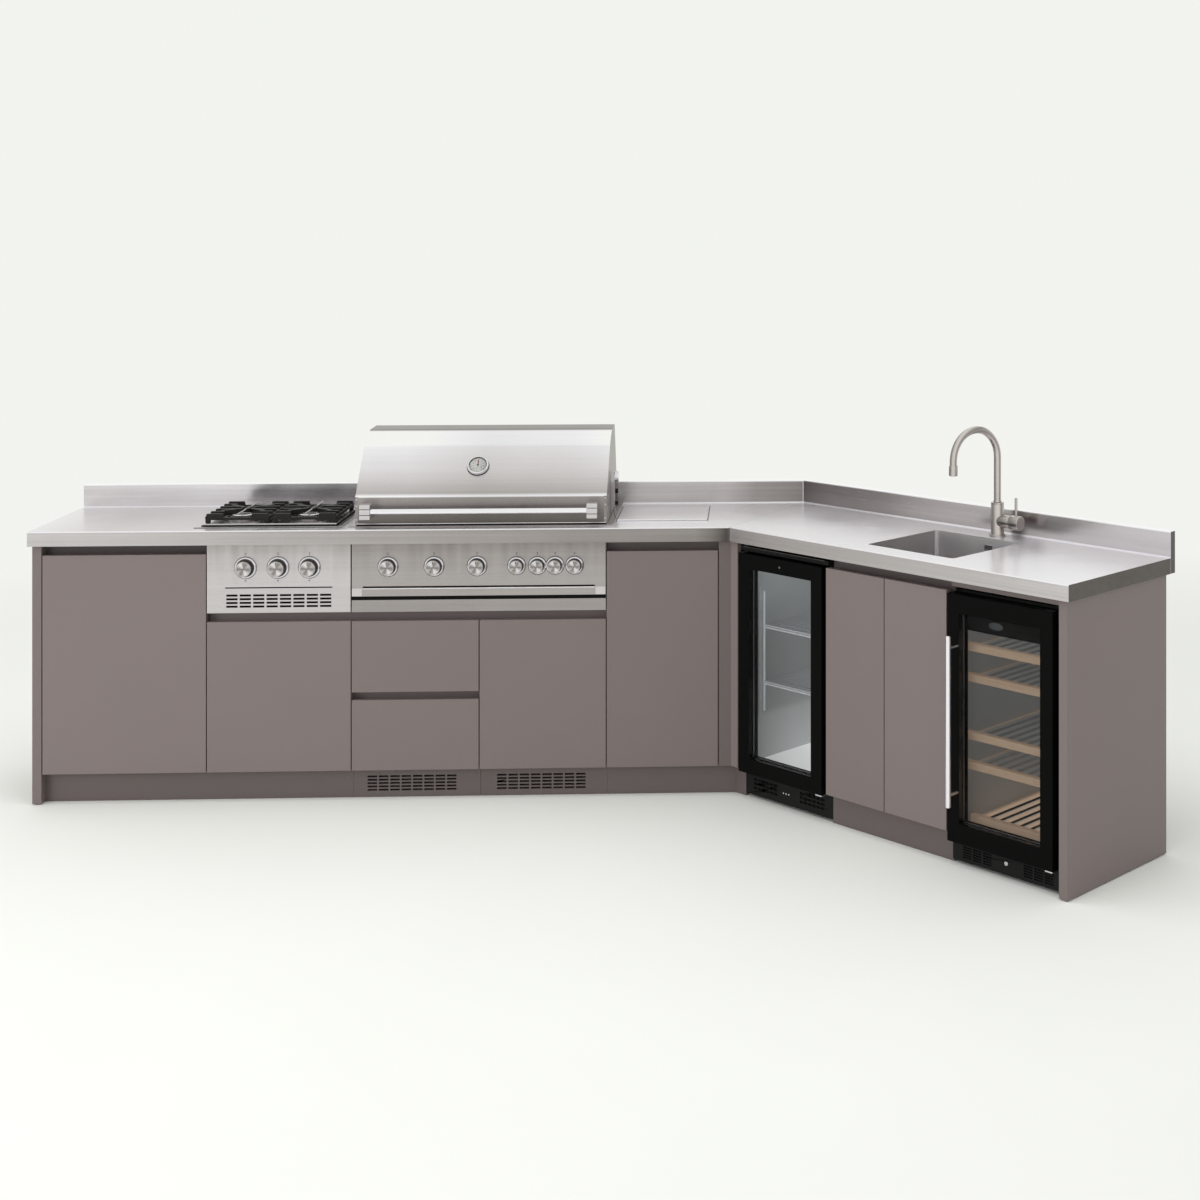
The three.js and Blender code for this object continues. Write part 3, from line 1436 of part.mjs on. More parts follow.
function addFridge() {
  const x = grown(fridgeBayX, -seatGap);
  const y = [applianceFront, legBack];
  const body = block(x, y, [fridgeBaseTop - gripWall, carcassTop]);
  const base = block(x, [fridgeBaseFront, legBack], [fridgeFootHeight, fridgeBaseTop]);
  const roomX = grown(x, -fridgeWall);
  const room = block(roomX, [y[0] - cutOver, y[1] - fridgeWall], fridgeHollowZ);
  const hump = block(
    grown(roomX, gripWall),
    [y[1] - fridgeWall - compressorDepth, y[1] - gripWall],
    [hollowFoot - gripWall, hollowFoot + compressorHeight],
  );
  const trimTop = carcassTop - fridgeTrimDrop;
  const trimY = [applianceFront - fridgeTrimReach, applianceFront + gripWall];
  const trim = block(x, trimY, [trimTop - fridgeTrimHeight, trimTop]);
  const ventZ = [fridgeVentFoot, fridgeVentFoot + fridgeVentHeight];
  const ventY = [fridgeBaseFront - cutOver, fridgeBaseFront + cutOver];
  const vents = [
    [x[0] + fridgeVentInset, x[0] + fridgeVentInset + fridgeVentWidth],
    [x[1] - fridgeVentInset - fridgeVentWidth, x[1] - fridgeVentInset],
  ].flatMap((range) => slots(range, ventZ, fridgeVentColumns, fridgeVentRows, ventY));
  const shell = carve(fuse(body, base, trim), room, vents);
  place(legGroup, 'fridge_cabinet', blackGloss, fuse(shell, hump, applianceFeet(x, y)));

  const shelfX = grown(roomX, -seatGap);
  const shelfY = [wireShelfFront, y[1] - fridgeWall - seatGap];
  const ladderZ = placesOf([ladderFootShare, ladderTopShare], fridgeHollowZ);
  const rods = ladderRods(shelfX, shelfY, ladderZ, wireRod);
  for (const height of placesOf(wireShelfShares, fridgeHollowZ)) {
    const z = [height, height + wireRod];
    rods.push(block(shelfX, [shelfY[0], shelfY[0] + wireRod], z));
    rods.push(block(shelfX, [shelfY[1] - wireRod, shelfY[1]], z));
    for (let i = 0; i < wireRodCount; i += 1) {
      const span = shelfX[1] - shelfX[0] - wireRod;
      const middle = shelfX[0] + wireRod / 2 + span * i / (wireRodCount - 1);
      rods.push(block(around(middle, wireRod), shelfY, z));
    }
  }
  place(legGroup, 'fridge_shelves', steel, fuse(rods));

  const doorX = [fridgeBayX[0] + fridgeDoorInset, fridgeBayX[0] + fridgeDoorInset + fridgeDoorWidth];
  const doorZ = [fridgeDoorFoot, fridgeDoorTop];
  const window = { x: grown(doorX, -fridgeFrameWidth), z: grown(doorZ, -fridgeWindowFoot) };
  const door = applianceDoor(doorX, doorZ, window.x, window.z);
  place(legGroup, 'fridge_door_frame', blackGloss, door.frame);
  place(legGroup, 'fridge_door_glass', glass, door.pane);
}

function addWineCooler() {
  const x = grown(wineBayX, -seatGap);
  const y = [applianceFront, legBack];
  const body = block(x, y, [wineBaseTop - gripWall, wineBodyTop]);
  const base = block(x, [wineBaseFront, legBack], [fridgeFootHeight, wineBaseTop]);
  const roomX = grown(x, -fridgeWall);
  const room = block(roomX, [y[0] - cutOver, y[1] - fridgeWall], wineHollowZ);
  const ventZ = [wineVentFoot, wineVentFoot + wineVentHeight];
  const ventY = [wineBaseFront - cutOver, wineBaseFront + cutOver];
  const vents = [
    [x[0] + wineVentInset, x[0] + wineVentInset + wineVentWidth],
    [x[1] - wineVentInset - wineVentWidth, x[1] - wineVentInset],
  ].flatMap((range) => slots(range, ventZ, wineVentColumns, wineVentRows, ventY));
  const shell = carve(fuse(body, base), room, vents);
  place(legGroup, 'wine_cabinet', blackGloss, fuse(shell, applianceFeet(x, y)));

  const shelfX = grown(roomX, -seatGap);
  const shelfY = [wineShelfFront, y[1] - fridgeWall - seatGap];
  const shelfHeights = placesOf(wineShelfShares, wineHollowZ);
  const rackTop = shelfHeights.at(-1) + wineRailHeight;
  const ladderY = [shelfY[0] + wineRailThick, shelfY[1]];
  const pieces = ladderRods(shelfX, ladderY, [shelfHeights[0], rackTop], wineLadder);
  for (const height of shelfHeights) {
    const railZ = [height, height + wineRailHeight];
    const slatZ = [height, height + wineSlatThick];
    pieces.push(block(shelfX, [shelfY[0], shelfY[0] + wineRailThick + gripWall], railZ));
    pieces.push(block(shelfX, [shelfY[1] - wineRailThick, shelfY[1]], slatZ));
    for (let i = 0; i < wineSlatCount; i += 1) {
      const span = shelfX[1] - shelfX[0] - wineSlatWidth;
      const middle = shelfX[0] + wineSlatWidth / 2 + span * i / (wineSlatCount - 1);
      pieces.push(block(around(middle, wineSlatWidth), shelfY, slatZ));
    }
  }
  place(legGroup, 'wine_shelves', beech, fuse(pieces));

  const doorX = [wineBayX[0] + wineDoorInset, wineBayX[0] + wineDoorInset + wineDoorWidth];
  const doorZ = [wineDoorFoot, wineDoorTop];
  const windowZ = [wineDoorFoot + wineWindowFoot, wineDoorTop - wineWindowHead];
  const door = applianceDoor(doorX, doorZ, grown(doorX, -wineFrameWidth), windowZ);
  place(legGroup, 'wine_door_frame', blackGloss, door.frame);
  place(legGroup, 'wine_door_glass', glass, door.pane);

  const handleX = doorX[0] + wineHandleInset;
  const handleY = frontSetback - wineHandleReach;
  const handleZ = [doorZ[0] + wineHandleFootRoom, doorZ[1] - wineHandleHeadroom];
  const posts = [handleZ[0] + wineHandlePostInset, handleZ[1] - wineHandlePostInset].map(
    (z) => rodY(wineHandlePostRadius, handleX, [handleY, frontSetback - seatGap], z),
  );
  const bar = rodZ(wineHandleRadius, handleX, handleY, handleZ, roundSides);
  place(legGroup, 'wine_door_handle', steel, fuse(bar, posts));
}

addWorktop();
addEndPanels();
addLeftCabinet();
addHobCabinet();
addGrillCabinet();
addCornerCabinet();
addSinkCabinet();
addCornerFiller();
addPlinths();
addDoors();
addDrawers();
addDripTray();
addHobPanel();
addGrillPanel();
addKnobs();
addHobTray();
addPanSupports();
addFirebox();
addBurners();
addGrates();
addHood();
addLidAndTub();
addSink();
addTap();
addFridge();
addWineCooler();

// The finished part stands with the middle of its footprint on the origin
kitchen.updateMatrixWorld(true);
const extent = new THREE.Box3().setFromObject(kitchen, true);
const middle = extent.getCenter(new THREE.Vector3());
kitchen.position.set(-middle.x, -middle.y, -extent.min.z);

export default kitchen;
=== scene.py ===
"""Outdoor kitchen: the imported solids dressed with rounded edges, fittings and finishes."""

import math

import bmesh
import bpy
from mathutils import Matrix, Vector


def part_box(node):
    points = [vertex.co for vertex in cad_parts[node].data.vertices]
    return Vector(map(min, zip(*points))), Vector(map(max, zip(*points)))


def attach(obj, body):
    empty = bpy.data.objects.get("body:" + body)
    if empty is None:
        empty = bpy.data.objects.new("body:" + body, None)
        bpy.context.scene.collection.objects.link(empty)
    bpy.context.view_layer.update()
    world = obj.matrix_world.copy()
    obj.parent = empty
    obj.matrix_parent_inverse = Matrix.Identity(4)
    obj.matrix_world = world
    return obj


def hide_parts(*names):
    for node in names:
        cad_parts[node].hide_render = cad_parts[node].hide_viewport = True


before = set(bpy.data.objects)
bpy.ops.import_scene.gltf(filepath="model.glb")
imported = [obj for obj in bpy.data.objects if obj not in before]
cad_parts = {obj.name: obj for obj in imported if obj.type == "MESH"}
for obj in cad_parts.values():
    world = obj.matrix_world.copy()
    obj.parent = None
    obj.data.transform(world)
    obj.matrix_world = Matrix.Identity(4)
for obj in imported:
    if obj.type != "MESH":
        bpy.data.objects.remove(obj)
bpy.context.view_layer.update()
bpy.context.scene.view_settings.view_transform = "Standard"

# Driving sizes, in millimetres; the frame gives where the inner front corner stands
RUN_LENGTH = 2300
RUN_DEPTH = 520
LEG_DEPTH = 560
TURN = math.radians(45)
MM = 0.001

CORNER = Vector((
    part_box("worktop")[0].x + RUN_LENGTH * MM,
    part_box("upstand")[1].y - RUN_DEPTH * MM,
    0,
))
RUN = Matrix.Translation(CORNER) @ Matrix.Scale(MM, 4)
LEG = Matrix.Translation(CORNER) @ Matrix.Rotation(-TURN, 4, "Z") @ Matrix.Scale(MM, 4)

# The mitre runs from the inner front corner to where both back edges meet
MITRE_BACK = Vector((
    (LEG_DEPTH - RUN_DEPTH * math.cos(TURN)) / math.sin(TURN), RUN_DEPTH, 0
))
MITRE_NORMAL = Vector((MITRE_BACK.y, -MITRE_BACK.x, 0)).normalized()

# Heights on the steel of the worktop and its upstand, in metres, that bound its painted highlight
# lines and its top face's tones
EDGE_FOOT, EDGE_TOP = 0.8964, 0.9036
TOP_FACE = 0.901
UPSTAND_LIP = 0.9764


# Shader sheets
def operator(operation, swapped=False):
    def worked(self, other):
        first, second = (other, self) if swapped else (self, other)
        return self.sheet.node(
            "ShaderNodeMath", {"operation": operation}, {0: first, 1: second}
        )

    return worked


class Wire:
    """One shader socket; sums and products on it add the nodes that work them out."""

    def __init__(self, sheet, socket):
        self.sheet = sheet
        self.socket = socket

    __add__ = operator("ADD")
    __radd__ = operator("ADD", True)
    __sub__ = operator("SUBTRACT")
    __rsub__ = operator("SUBTRACT", True)
    __mul__ = operator("MULTIPLY")
    __rmul__ = operator("MULTIPLY", True)
    __truediv__ = operator("DIVIDE")
    __pow__ = operator("POWER")
    __gt__ = operator("GREATER_THAN")
    __lt__ = operator("LESS_THAN")

    def size(self):
        return self.sheet.node("ShaderNodeMath", {"operation": "ABSOLUTE"}, {0: self})

    def kept(self):
        """The same value held between nought and one."""
        return self.sheet.node("ShaderNodeClamp", inputs={0: self})


class Sheet:
    """A material as it is drawn up: one principled surface and what feeds it."""

    def __init__(self, name):
        self.material = bpy.data.materials.new(name)
        self.material.use_nodes = True
        self.tree = self.material.node_tree
        self.tree.nodes.clear()
        self.output = self.tree.nodes.new("ShaderNodeOutputMaterial")
        self.surface = self.tree.nodes.new("ShaderNodeBsdfPrincipled")
        self.tree.links.new(self.surface.outputs[0], self.output.inputs[0])

    def node(self, kind, settings=None, inputs=None, output=0):
        made = self.tree.nodes.new(kind)
        for key, value in (settings or {}).items():
            setattr(made, key, value)
        for key, value in (inputs or {}).items():
            self.feed(made.inputs[key], value)
        return Wire(self, made.outputs[output])

    def feed(self, socket, value):
        if isinstance(value, Wire):
            self.tree.links.new(value.socket, socket)
        elif isinstance(value, tuple) and len(value) == 3 and socket.type == "RGBA":
            socket.default_value = (*value, 1)
        else:
            socket.default_value = value

    def set(self, **values):
        for key, value in values.items():
            self.feed(self.surface.inputs[key.replace("_", " ")], value)

    def mixed(self, factor, through, surface_second):
        """Sends the surface and another shader, mixed, to the output."""
        surface = Wire(self, self.surface.outputs[0])
        first, second = (through, surface) if surface_second else (surface, through)
        mix = self.node("ShaderNodeMixShader", inputs={0: factor, 1: first, 2: second})
        self.tree.links.new(mix.socket, self.output.inputs[0])

    def place(self):
        return self.node("ShaderNodeTexCoord", output="Object")

    def parts(self, vector=None):
        """The three parts of a vector, or of the point's place."""
        split = self.node("ShaderNodeSeparateXYZ", inputs={0: vector or self.place()})
        return [Wire(self, socket) for socket in split.socket.node.outputs]

    def facing(self):
        return self.parts(self.node("ShaderNodeNewGeometry", output="Normal"))

    def noise(self, scale, detail=2.0, roughness=0.5, vector=None):
        inputs = {"Scale": scale, "Detail": detail, "Roughness": roughness}
        return self.node("ShaderNodeTexNoise", inputs={"Vector": vector or self.place(), **inputs})

    def grain(self, stretch, detail=2.0, roughness=0.5, turn=0.0):
        """Noise on places turned about the vertical and drawn out, so that it runs one way."""
        turned_place = self.node(
            "ShaderNodeVectorRotate",
            {"rotation_type": "Z_AXIS"},
            {"Vector": self.place(), "Angle": turn},
        )
        drawn_out = self.node(
            "ShaderNodeVectorMath", {"operation": "MULTIPLY"}, {0: turned_place, 1: stretch}
        )
        return self.noise(1.0, detail, roughness, drawn_out)

    def blend(self, factor, low, high):
        return self.node(
            "ShaderNodeMix", {"data_type": "RGBA"}, {0: factor, 6: low, 7: high}, output=2
        )

    def colour(self, red, green, blue):
        return self.node("ShaderNodeCombineColor", inputs={0: red, 1: green, 2: blue})

    def grey(self, value):
        """Steel's tone: a little warm where it is dark, neutral where it is bright."""
        return self.colour(
            value, value * (value * 0.11 + 0.885), value * (value * 0.24 + 0.825)
        )

    def ramp(self, value, stops):
        made = self.node("ShaderNodeValToRGB", inputs={0: value})
        elements = made.socket.node.color_ramp.elements
        while len(elements) < len(stops):
            elements.new(0.5)
        for element, (place, tone) in zip(elements, stops):
            element.position = place
            element.color = (tone, tone, tone, 1)
        return made

    def bump(self, height, strength, distance):
        return self.node(
            "ShaderNodeBump",
            inputs={"Height": height, "Strength": strength, "Distance": distance},
        )


def linear(red, green, blue):
    return tuple((value / 255) ** 2.2 for value in (red, green, blue))


def times(share, colour):
    return tuple(share * part for part in colour)


FINISHES = {}


def finish(draw):
    """A finish is drawn up the first time that a piece asks for it."""

    def made(*args):
        key = (draw.__name__, *args)
        if key not in FINISHES:
            sheet = Sheet("_".join(str(part).replace(".", "") for part in key))
            draw(sheet, *args)
            FINISHES[key] = sheet.material
        return FINISHES[key]

    return made


def brush_marks(sheet, turn=0.0, upright=False):
    """Fine grain, broader streaks and soft smudges, each from nought to one."""
    long, thin, wide = 2.0, 900.0, 70.0
    fine, broad = (long, thin, thin), (1.0, wide, wide)
    if upright:
        fine, broad = fine[::-1], broad[::-1]
    return (
        sheet.grain(fine, 3.0, 0.7, turn),
        sheet.grain(broad, 3.0, 0.6, turn),
        sheet.noise(7.0, 3.0),
    )


def as_steel(sheet, tone, roughness, marks, grain=0.16, smear=0.12, depth=0.10):
    """Bare brushed steel: the marks show in its polish and stand out by a hair."""
    fine, broad, smudge = marks
    sheet.set(
        Base_Color=sheet.grey(tone),
        Metallic=1.0,
        Roughness=roughness + (fine - 0.5) * grain + (smudge - 0.5) * smear,
        Normal=sheet.bump(fine * 0.5 + broad * 1.2, depth, 0.0006),
    )


def arms(sheet):
    """A point's place across the room, in from its arm's front, from the mitre, and its arm."""
    across, depth, _ = sheet.parts()
    from_mitre = (across - CORNER.x) * MITRE_NORMAL.x + (depth - CORNER.y) * MITRE_NORMAL.y
    on_leg = from_mitre > 0
    run_depth = depth - CORNER.y
    leg_depth = (across - CORNER.x + run_depth) * math.cos(TURN)
    return across, run_depth + (leg_depth - run_depth) * on_leg, from_mitre, on_leg


@finish
def counter_steel(sheet):
    """Folded worktop steel: grain along each arm, a ground weld on the mitre, painted reflections
    and shade along each arm and across the mitre, and painted highlight lines on its edges.
    """
    across, inward, from_mitre, on_leg = arms(sheet)
    run_fine, run_broad, smudge = brush_marks(sheet)
    leg_fine, leg_broad, _ = brush_marks(sheet, TURN)
    fine = run_fine + (leg_fine - run_fine) * on_leg
    broad = run_broad + (leg_broad - run_broad) * on_leg
    weld = from_mitre.size() < 0.0011
    scratches = sheet.grain((14, 500, 500), turn=0.6) > 0.74
    length = ((across + 1.85) / 3.65).kept()
    # Painted reflection and shade along the length, as tones for the top, the front edge and the
    # upstand.
    top = sheet.ramp(length, (
        (0.0, 0.80), (0.07, 0.60), (0.2, 0.58), (0.42, 0.52), (0.52, 0.78),
        (0.60, 0.74), (0.64, 0.78), (0.70, 0.80), (0.86, 0.84), (0.92, 0.88), (1.0, 0.80),
    ))
    edge = sheet.ramp(length, (
        (0.0, 0.60), (0.3, 0.44), (0.5, 0.34), (0.62, 0.29), (0.66, 0.42), (0.85, 0.52), (1.0, 0.66),
    ))
    wall = sheet.ramp(length, (
        (0.0, 0.66), (0.12, 0.86), (0.3, 0.76), (0.58, 0.58),
        (0.63, 0.54), (0.66, 0.36), (0.70, 0.42), (0.78, 0.42), (0.88, 0.50), (1.0, 0.66),
    ))
    _, _, height = sheet.parts()
    aside, _, up = sheet.facing()
    level = up > 0.6
    # Painted shade on the front edge just before the mitre, and a painted highlight just past it.
    mitre_light_and_shade = sheet.ramp(((from_mitre + 0.10) / 0.20).kept(), (
        (0.0, 1.0), (0.25, 0.74), (0.46, 0.26), (0.5, 0.4), (0.52, 1.25), (0.65, 1.1), (1.0, 1.0),
    ))
    # Painted shade on the upstand, deepest at the mitre.
    near = (from_mitre.size() / 0.14).kept()
    wall = wall * (near * 0.36 + 0.64)
    tone = edge * mitre_light_and_shade
    tone = tone + (wall - tone) * (height > TOP_FACE)
    # Painted shade on the faces turned to the right.
    tone = tone + (0.12 - tone) * (aside > 0.5)
    tone = tone + (top - tone) * level
    # Painted highlight lines along the worktop's front top edge and the foot of the upstand, on the
    # top and on the upright faces, and over the upstand's lip. They lift the tone towards white,
    # except on faces turned right.
    back = (LEG_DEPTH - RUN_DEPTH) * MM * on_leg + 0.490
    rim = (inward < 0.0034) * (height > 0.8970) + (inward > back) * (height < 0.903)
    edge_band_highlight = (height > EDGE_FOOT) * (height < EDGE_TOP) * (1 - level) * 0.8
    lip = (height > UPSTAND_LIP) + rim * level + edge_band_highlight
    streak = fine * 0.09 + broad * 0.03 + ((broad - 0.5) * 0.34 + (fine - 0.5) * 0.2) * (1 - level)
    tone = tone * (0.94 + streak) + (smudge - 0.5) * 0.05
    tone = tone + (0.98 - tone) * lip.kept() * (aside < 0.5)
    tone = tone * (1 - weld * 0.35) + weld * (height > TOP_FACE) * 0.5
    sheet.set(
        Base_Color=sheet.grey(tone),
        Metallic=1.0 - level * 0.34,
        Roughness=0.24 + (fine - 0.5) * 0.10 + (smudge - 0.5) * 0.12 + scratches * 0.08,
        Normal=sheet.bump(fine * 0.5 + broad * 0.4 - weld * 2.0, 0.08, 0.0006),
    )


@finish
def brushed(sheet, shade, roughness, turn_degrees=0, way="along"):
    """Brushed stainless steel, its grain along the piece or upright, with smudges and streaks."""
    marks = fine, broad, smudge = brush_marks(sheet, math.radians(turn_degrees), way == "upright")
    tone = shade * (0.84 + fine * 0.16 + broad * 0.16) + (smudge - 0.5) * 0.06
    as_steel(sheet, tone, roughness, marks)


@finish
def hood_steel(sheet):
    """The hood's grain runs along it; painted reflection makes its lower band darker and its crown
    paler, with a painted highlight on the crease, and painted light brightens it towards its ends.
    """
    marks = fine, broad, smudge = brush_marks(sheet)
    across, _, height = sheet.parts()
    rise = ((height - 0.90) / 0.30).kept()
    # Painted reflection and highlight by height: a dark lower band, a bright line on the crease, a
    # pale crown and a dark edge at the very top.
    tone = sheet.ramp(rise, (
        (0.0, 0.13), (0.12, 0.17), (0.22, 0.28), (0.318, 0.36), (0.325, 0.95),
        (0.335, 0.95), (0.36, 0.50), (0.46, 0.62), (0.6, 0.76), (0.82, 0.88),
        (0.845, 1.0), (0.97, 1.0), (0.98, 0.20), (1.0, 0.20),
    ))
    # Painted light across the hood, brighter towards both ends.
    side = ((across + 0.80) / 0.86).kept()
    painted_light = sheet.ramp(side, ((0.0, 1.0), (0.2, 0.96), (0.5, 0.82), (0.85, 0.86), (1.0, 0.94)))
    tone = tone * (painted_light * 1.08) * (0.9 + fine * 0.1 + broad * 0.1) + (smudge - 0.5) * 0.04
    as_steel(sheet, tone.kept(), 0.28, marks, 0.14, 0.10, 0.08)


@finish
def panel_steel(sheet, shade):
    """Brushed steel front, with painted shade towards the edge of the worktop above it."""
    marks = fine, broad, smudge = brush_marks(sheet)
    _, _, height = sheet.parts()
    rise = ((height - 0.62) / 0.24).kept()
    # Painted shade under the worktop, broken up a little by streaks near the top.
    painted_light = sheet.ramp(rise, ((0.0, 0.96), (0.5, 1.0), (0.8, 0.88), (0.97, 0.66), (1.0, 0.6)))
    streak = sheet.grain((26, 26, 1.6))
    painted_light = painted_light * (1 - (streak - 0.5) * ((rise - 0.35) * 1.6).kept() * 0.7)
    tone = painted_light * shade * (0.84 + fine * 0.16 + broad * 0.16) + (smudge - 0.5) * 0.05
    as_steel(sheet, tone, 0.30, marks)


@finish
def spun_steel(sheet):
    """A turned face: fine rings, and painted highlight fans such as the rings throw."""
    across, height, _ = sheet.parts(sheet.node("ShaderNodeUVMap", {"uv_map": "face"}))
    radius = (across * across + height * height) ** 0.5
    ring_place = sheet.node("ShaderNodeCombineXYZ", inputs={0: radius * 26})
    rings = sheet.noise(1.0, 3.0, 0.8, ring_place)
    # Painted highlight: pale fans fixed to the face.
    slant = (across * 0.5 - height * 0.87) / (radius + 0.02)
    cross = (across * 0.87 + height * 0.5) / (radius + 0.02)
    painted_fans = slant ** 2 * slant ** 2 + (cross ** 2) ** 6 * 0.7
    tone = (0.17 + painted_fans * 0.66) * (0.8 + rings * 0.4)
    sheet.set(
        Base_Color=sheet.grey(tone.kept()),
        Metallic=1.0,
        Roughness=0.26 + rings * 0.14,
        Normal=sheet.bump(rings, 0.20, 0.0003),
    )


@finish
def taupe(sheet, shade=1.0, recess=None):
    """Satin laminate: an even taupe with a fine grain and the faintest cloud, with painted shade in
    a recess.
    """
    cloud = sheet.noise(2.2, 3.0)
    speck = sheet.noise(1100.0)
    wipe = sheet.grain((3, 3, 40), 3.0)
    base = linear(123, 112, 110)
    colour = sheet.blend(
        cloud * 0.6 + speck * 0.25 + wipe * 0.15,
        times(shade * 0.93, base),
        times(shade * 1.07, base),
    )
    # Painted shade over the front 80 mm, in the finger channel behind the fronts.
    if recess:
        _, inward, _, _ = arms(sheet)
        colour = sheet.blend(inward < 0.08, colour, times(recess, base))
    sheet.set(
        Base_Color=colour,
        Roughness=0.40 + (cloud - 0.5) * 0.12 + (speck - 0.5) * 0.08 + (wipe - 0.5) * 0.08,
        Specular_IOR_Level=0.4,
        Normal=sheet.bump(speck, 0.06, 0.0002),
    )


@finish
def black_gloss(sheet):
    """Glossy black frame with a little dust and an uneven polish."""
    dust = sheet.noise(500.0, 3.0, 0.7)
    wave = sheet.noise(6.0)
    sheet.set(
        Base_Color=sheet.blend(dust, (0.001,) * 3, (0.006,) * 3),
        Roughness=0.22 + wave * 0.14 + dust * 0.06,
        Specular_IOR_Level=0.03,
        Normal=sheet.bump(wave, 0.04, 0.001),
    )


@finish
def black_case(sheet):
    """Powder-coated black sheet."""
    grain = sheet.noise(900.0)
    wave = sheet.noise(9.0)
    sheet.set(
        Base_Color=sheet.blend(grain * 0.7 + wave * 0.3, (0.006,) * 3, (0.016,) * 3),
        Roughness=0.42 + grain * 0.2,
        Specular_IOR_Level=0.12,
        Normal=sheet.bump(grain, 0.2, 0.0002),
    )


@finish
def liner(sheet, top_glow, foot_glow):
    """Moulded liner of a cold cabinet, with its inside light painted in as a soft glow, most at its
    foot.
    """
    cloud = sheet.noise(5.0, 3.0)
    pebble = sheet.noise(600.0)
    _, _, height = sheet.parts()
    rise = sheet.ramp(((height - 0.10) / 0.70).kept(), (
        (0.0, 0.0), (0.23, 0.35), (0.26, 0.96), (0.55, 1.0), (0.8, 0.86), (1.0, 0.78),
    ))
    aside, _, up = sheet.facing()
    glow = (foot_glow + (top_glow - foot_glow) * rise) * (0.9 + cloud * 0.2)
    # Painted light: faces turned right glow less, upward faces more.
    glow = glow * (1 - (aside > 0.5) * 0.55) * (1 + (up > 0.5) * 0.7)
    sheet.set(
        Base_Color=sheet.blend(cloud, (0.38, 0.39, 0.39), (0.47, 0.48, 0.48)),
        Emission_Color=sheet.colour(glow * 0.98, glow, glow),
        Emission_Strength=1.0,
        Roughness=0.40 + pebble * 0.14,
        Normal=sheet.bump(pebble, 0.10, 0.0002),
    )


@finish
def cast_iron(sheet):
    """Black enamelled casting, slightly pitted, rubbed paler in places."""
    pit = sheet.noise(260.0, 4.0, 0.7)
    worn = sheet.noise(24.0, 3.0)
    sheet.set(
        Base_Color=sheet.blend(worn * pit * 1.6, (0.003,) * 3, (0.03, 0.028, 0.027)),
        Roughness=0.28 + pit * 0.25,
        Specular_IOR_Level=0.22,
        Normal=sheet.bump(pit, 0.5, 0.0006),
    )


@finish
def beech(sheet, glow):
    """Steamed beech with short flecks along the rail, and the cabinet's light painted in as a glow.
    """
    lines = sheet.grain((9, 240, 120), 4.0, 0.65, TURN)
    board = sheet.grain((1.5, 12, 20), turn=TURN)
    fleck = sheet.grain((60, 420, 420), turn=TURN) > 0.63
    tone = sheet.blend(lines * 0.6 + board * 0.4, linear(178, 148, 124), linear(222, 198, 174))
    sheet.set(
        Base_Color=sheet.blend(fleck * 0.25, tone, linear(140, 104, 78)),
        Emission_Color=tone,
        Emission_Strength=glow,
        Roughness=0.5 + lines * 0.2,
        Normal=sheet.bump(lines, 0.25, 0.0006),
    )


@finish
def white_wire(sheet, glow):
    """Plastic-coated shelf wire, with the cabinet's own light painted in as a glow."""
    coat = sheet.noise(160.0)
    sheet.set(
        Base_Color=sheet.blend(coat, (0.20, 0.21, 0.22), (0.50, 0.52, 0.53)),
        Emission_Color=sheet.blend(coat, (0.30, 0.32, 0.33), (0.86, 0.88, 0.90)),
        Emission_Strength=glow,
        Roughness=0.35 + coat * 0.2,
        Normal=sheet.bump(coat, 0.1, 0.0003),
    )


@finish
def glazing(sheet, clear):
    """Tinted glass seen through, with the room's reflection growing towards its rim."""
    film = sheet.noise(6.0, 3.0)
    sheet.set(
        Base_Color=sheet.blend(film, (0.003,) * 3, (0.008, 0.009, 0.009)),
        Roughness=0.02 + film * 0.02,
    )
    through = sheet.node("ShaderNodeBsdfTransparent", inputs={0: (clear, clear, clear)})
    rim = sheet.node("ShaderNodeFresnel", inputs={"IOR": 1.35})
    sheet.mixed(rim + 0.02 + film * 0.03, through, surface_second=True)


@finish
def satin_nickel(sheet):
    """The tap's warm satin steel, with painted reflection that darkens it in bands towards its
    sides.
    """
    ring = sheet.grain((60, 60, 700), 3.0, 0.7)
    smudge = sheet.noise(30.0, 3.0)
    aside, _, _ = sheet.facing()
    # Painted reflection: light and dark bands by which way each face turns across the room.
    painted_reflection_band = sheet.ramp((aside + 1) * 0.5, (
        (0.0, 0.56), (0.13, 0.32), (0.32, 0.88), (0.54, 1.0), (0.76, 0.36), (0.9, 0.76), (1.0, 0.42),
    ))
    tone = (0.64 + ring * 0.14 + (smudge - 0.5) * 0.06) * painted_reflection_band
    sheet.set(
        Base_Color=sheet.colour(tone, tone * 0.92, tone * 0.89),
        Metallic=1.0,
        Roughness=0.28 + (smudge - 0.5) * 0.16 + ring * 0.08,
        Normal=sheet.bump(ring, 0.06, 0.0003),
    )


@finish
def moulded(sheet, tone):
    """Dull moulded rubber or plastic; the darkest hardly shines, and near-black copies stand for
    painted shade in gaps and openings.
    """
    grain = sheet.noise(700.0, 3.0)
    cloud = sheet.noise(30.0)
    sheet.set(
        Base_Color=sheet.blend(grain * 0.6 + cloud * 0.4, (tone * 0.75,) * 3, (tone * 1.25,) * 3),
        Roughness=0.50 + grain * 0.2,
        Specular_IOR_Level=0.08 if tone < 0.02 else 0.5,
        Normal=sheet.bump(grain, 0.2, 0.0002),
    )


@finish
def enamel(sheet, red, green, blue):
    """Printed or enamelled metal, clean, with a faint film."""
    film = sheet.noise(60.0, 3.0)
    base = linear(red, green, blue)
    high = tuple(min(1.0, part * 1.06) for part in base)
    sheet.set(Base_Color=sheet.blend(film, times(0.9, base), high), Roughness=0.30 + film * 0.12)


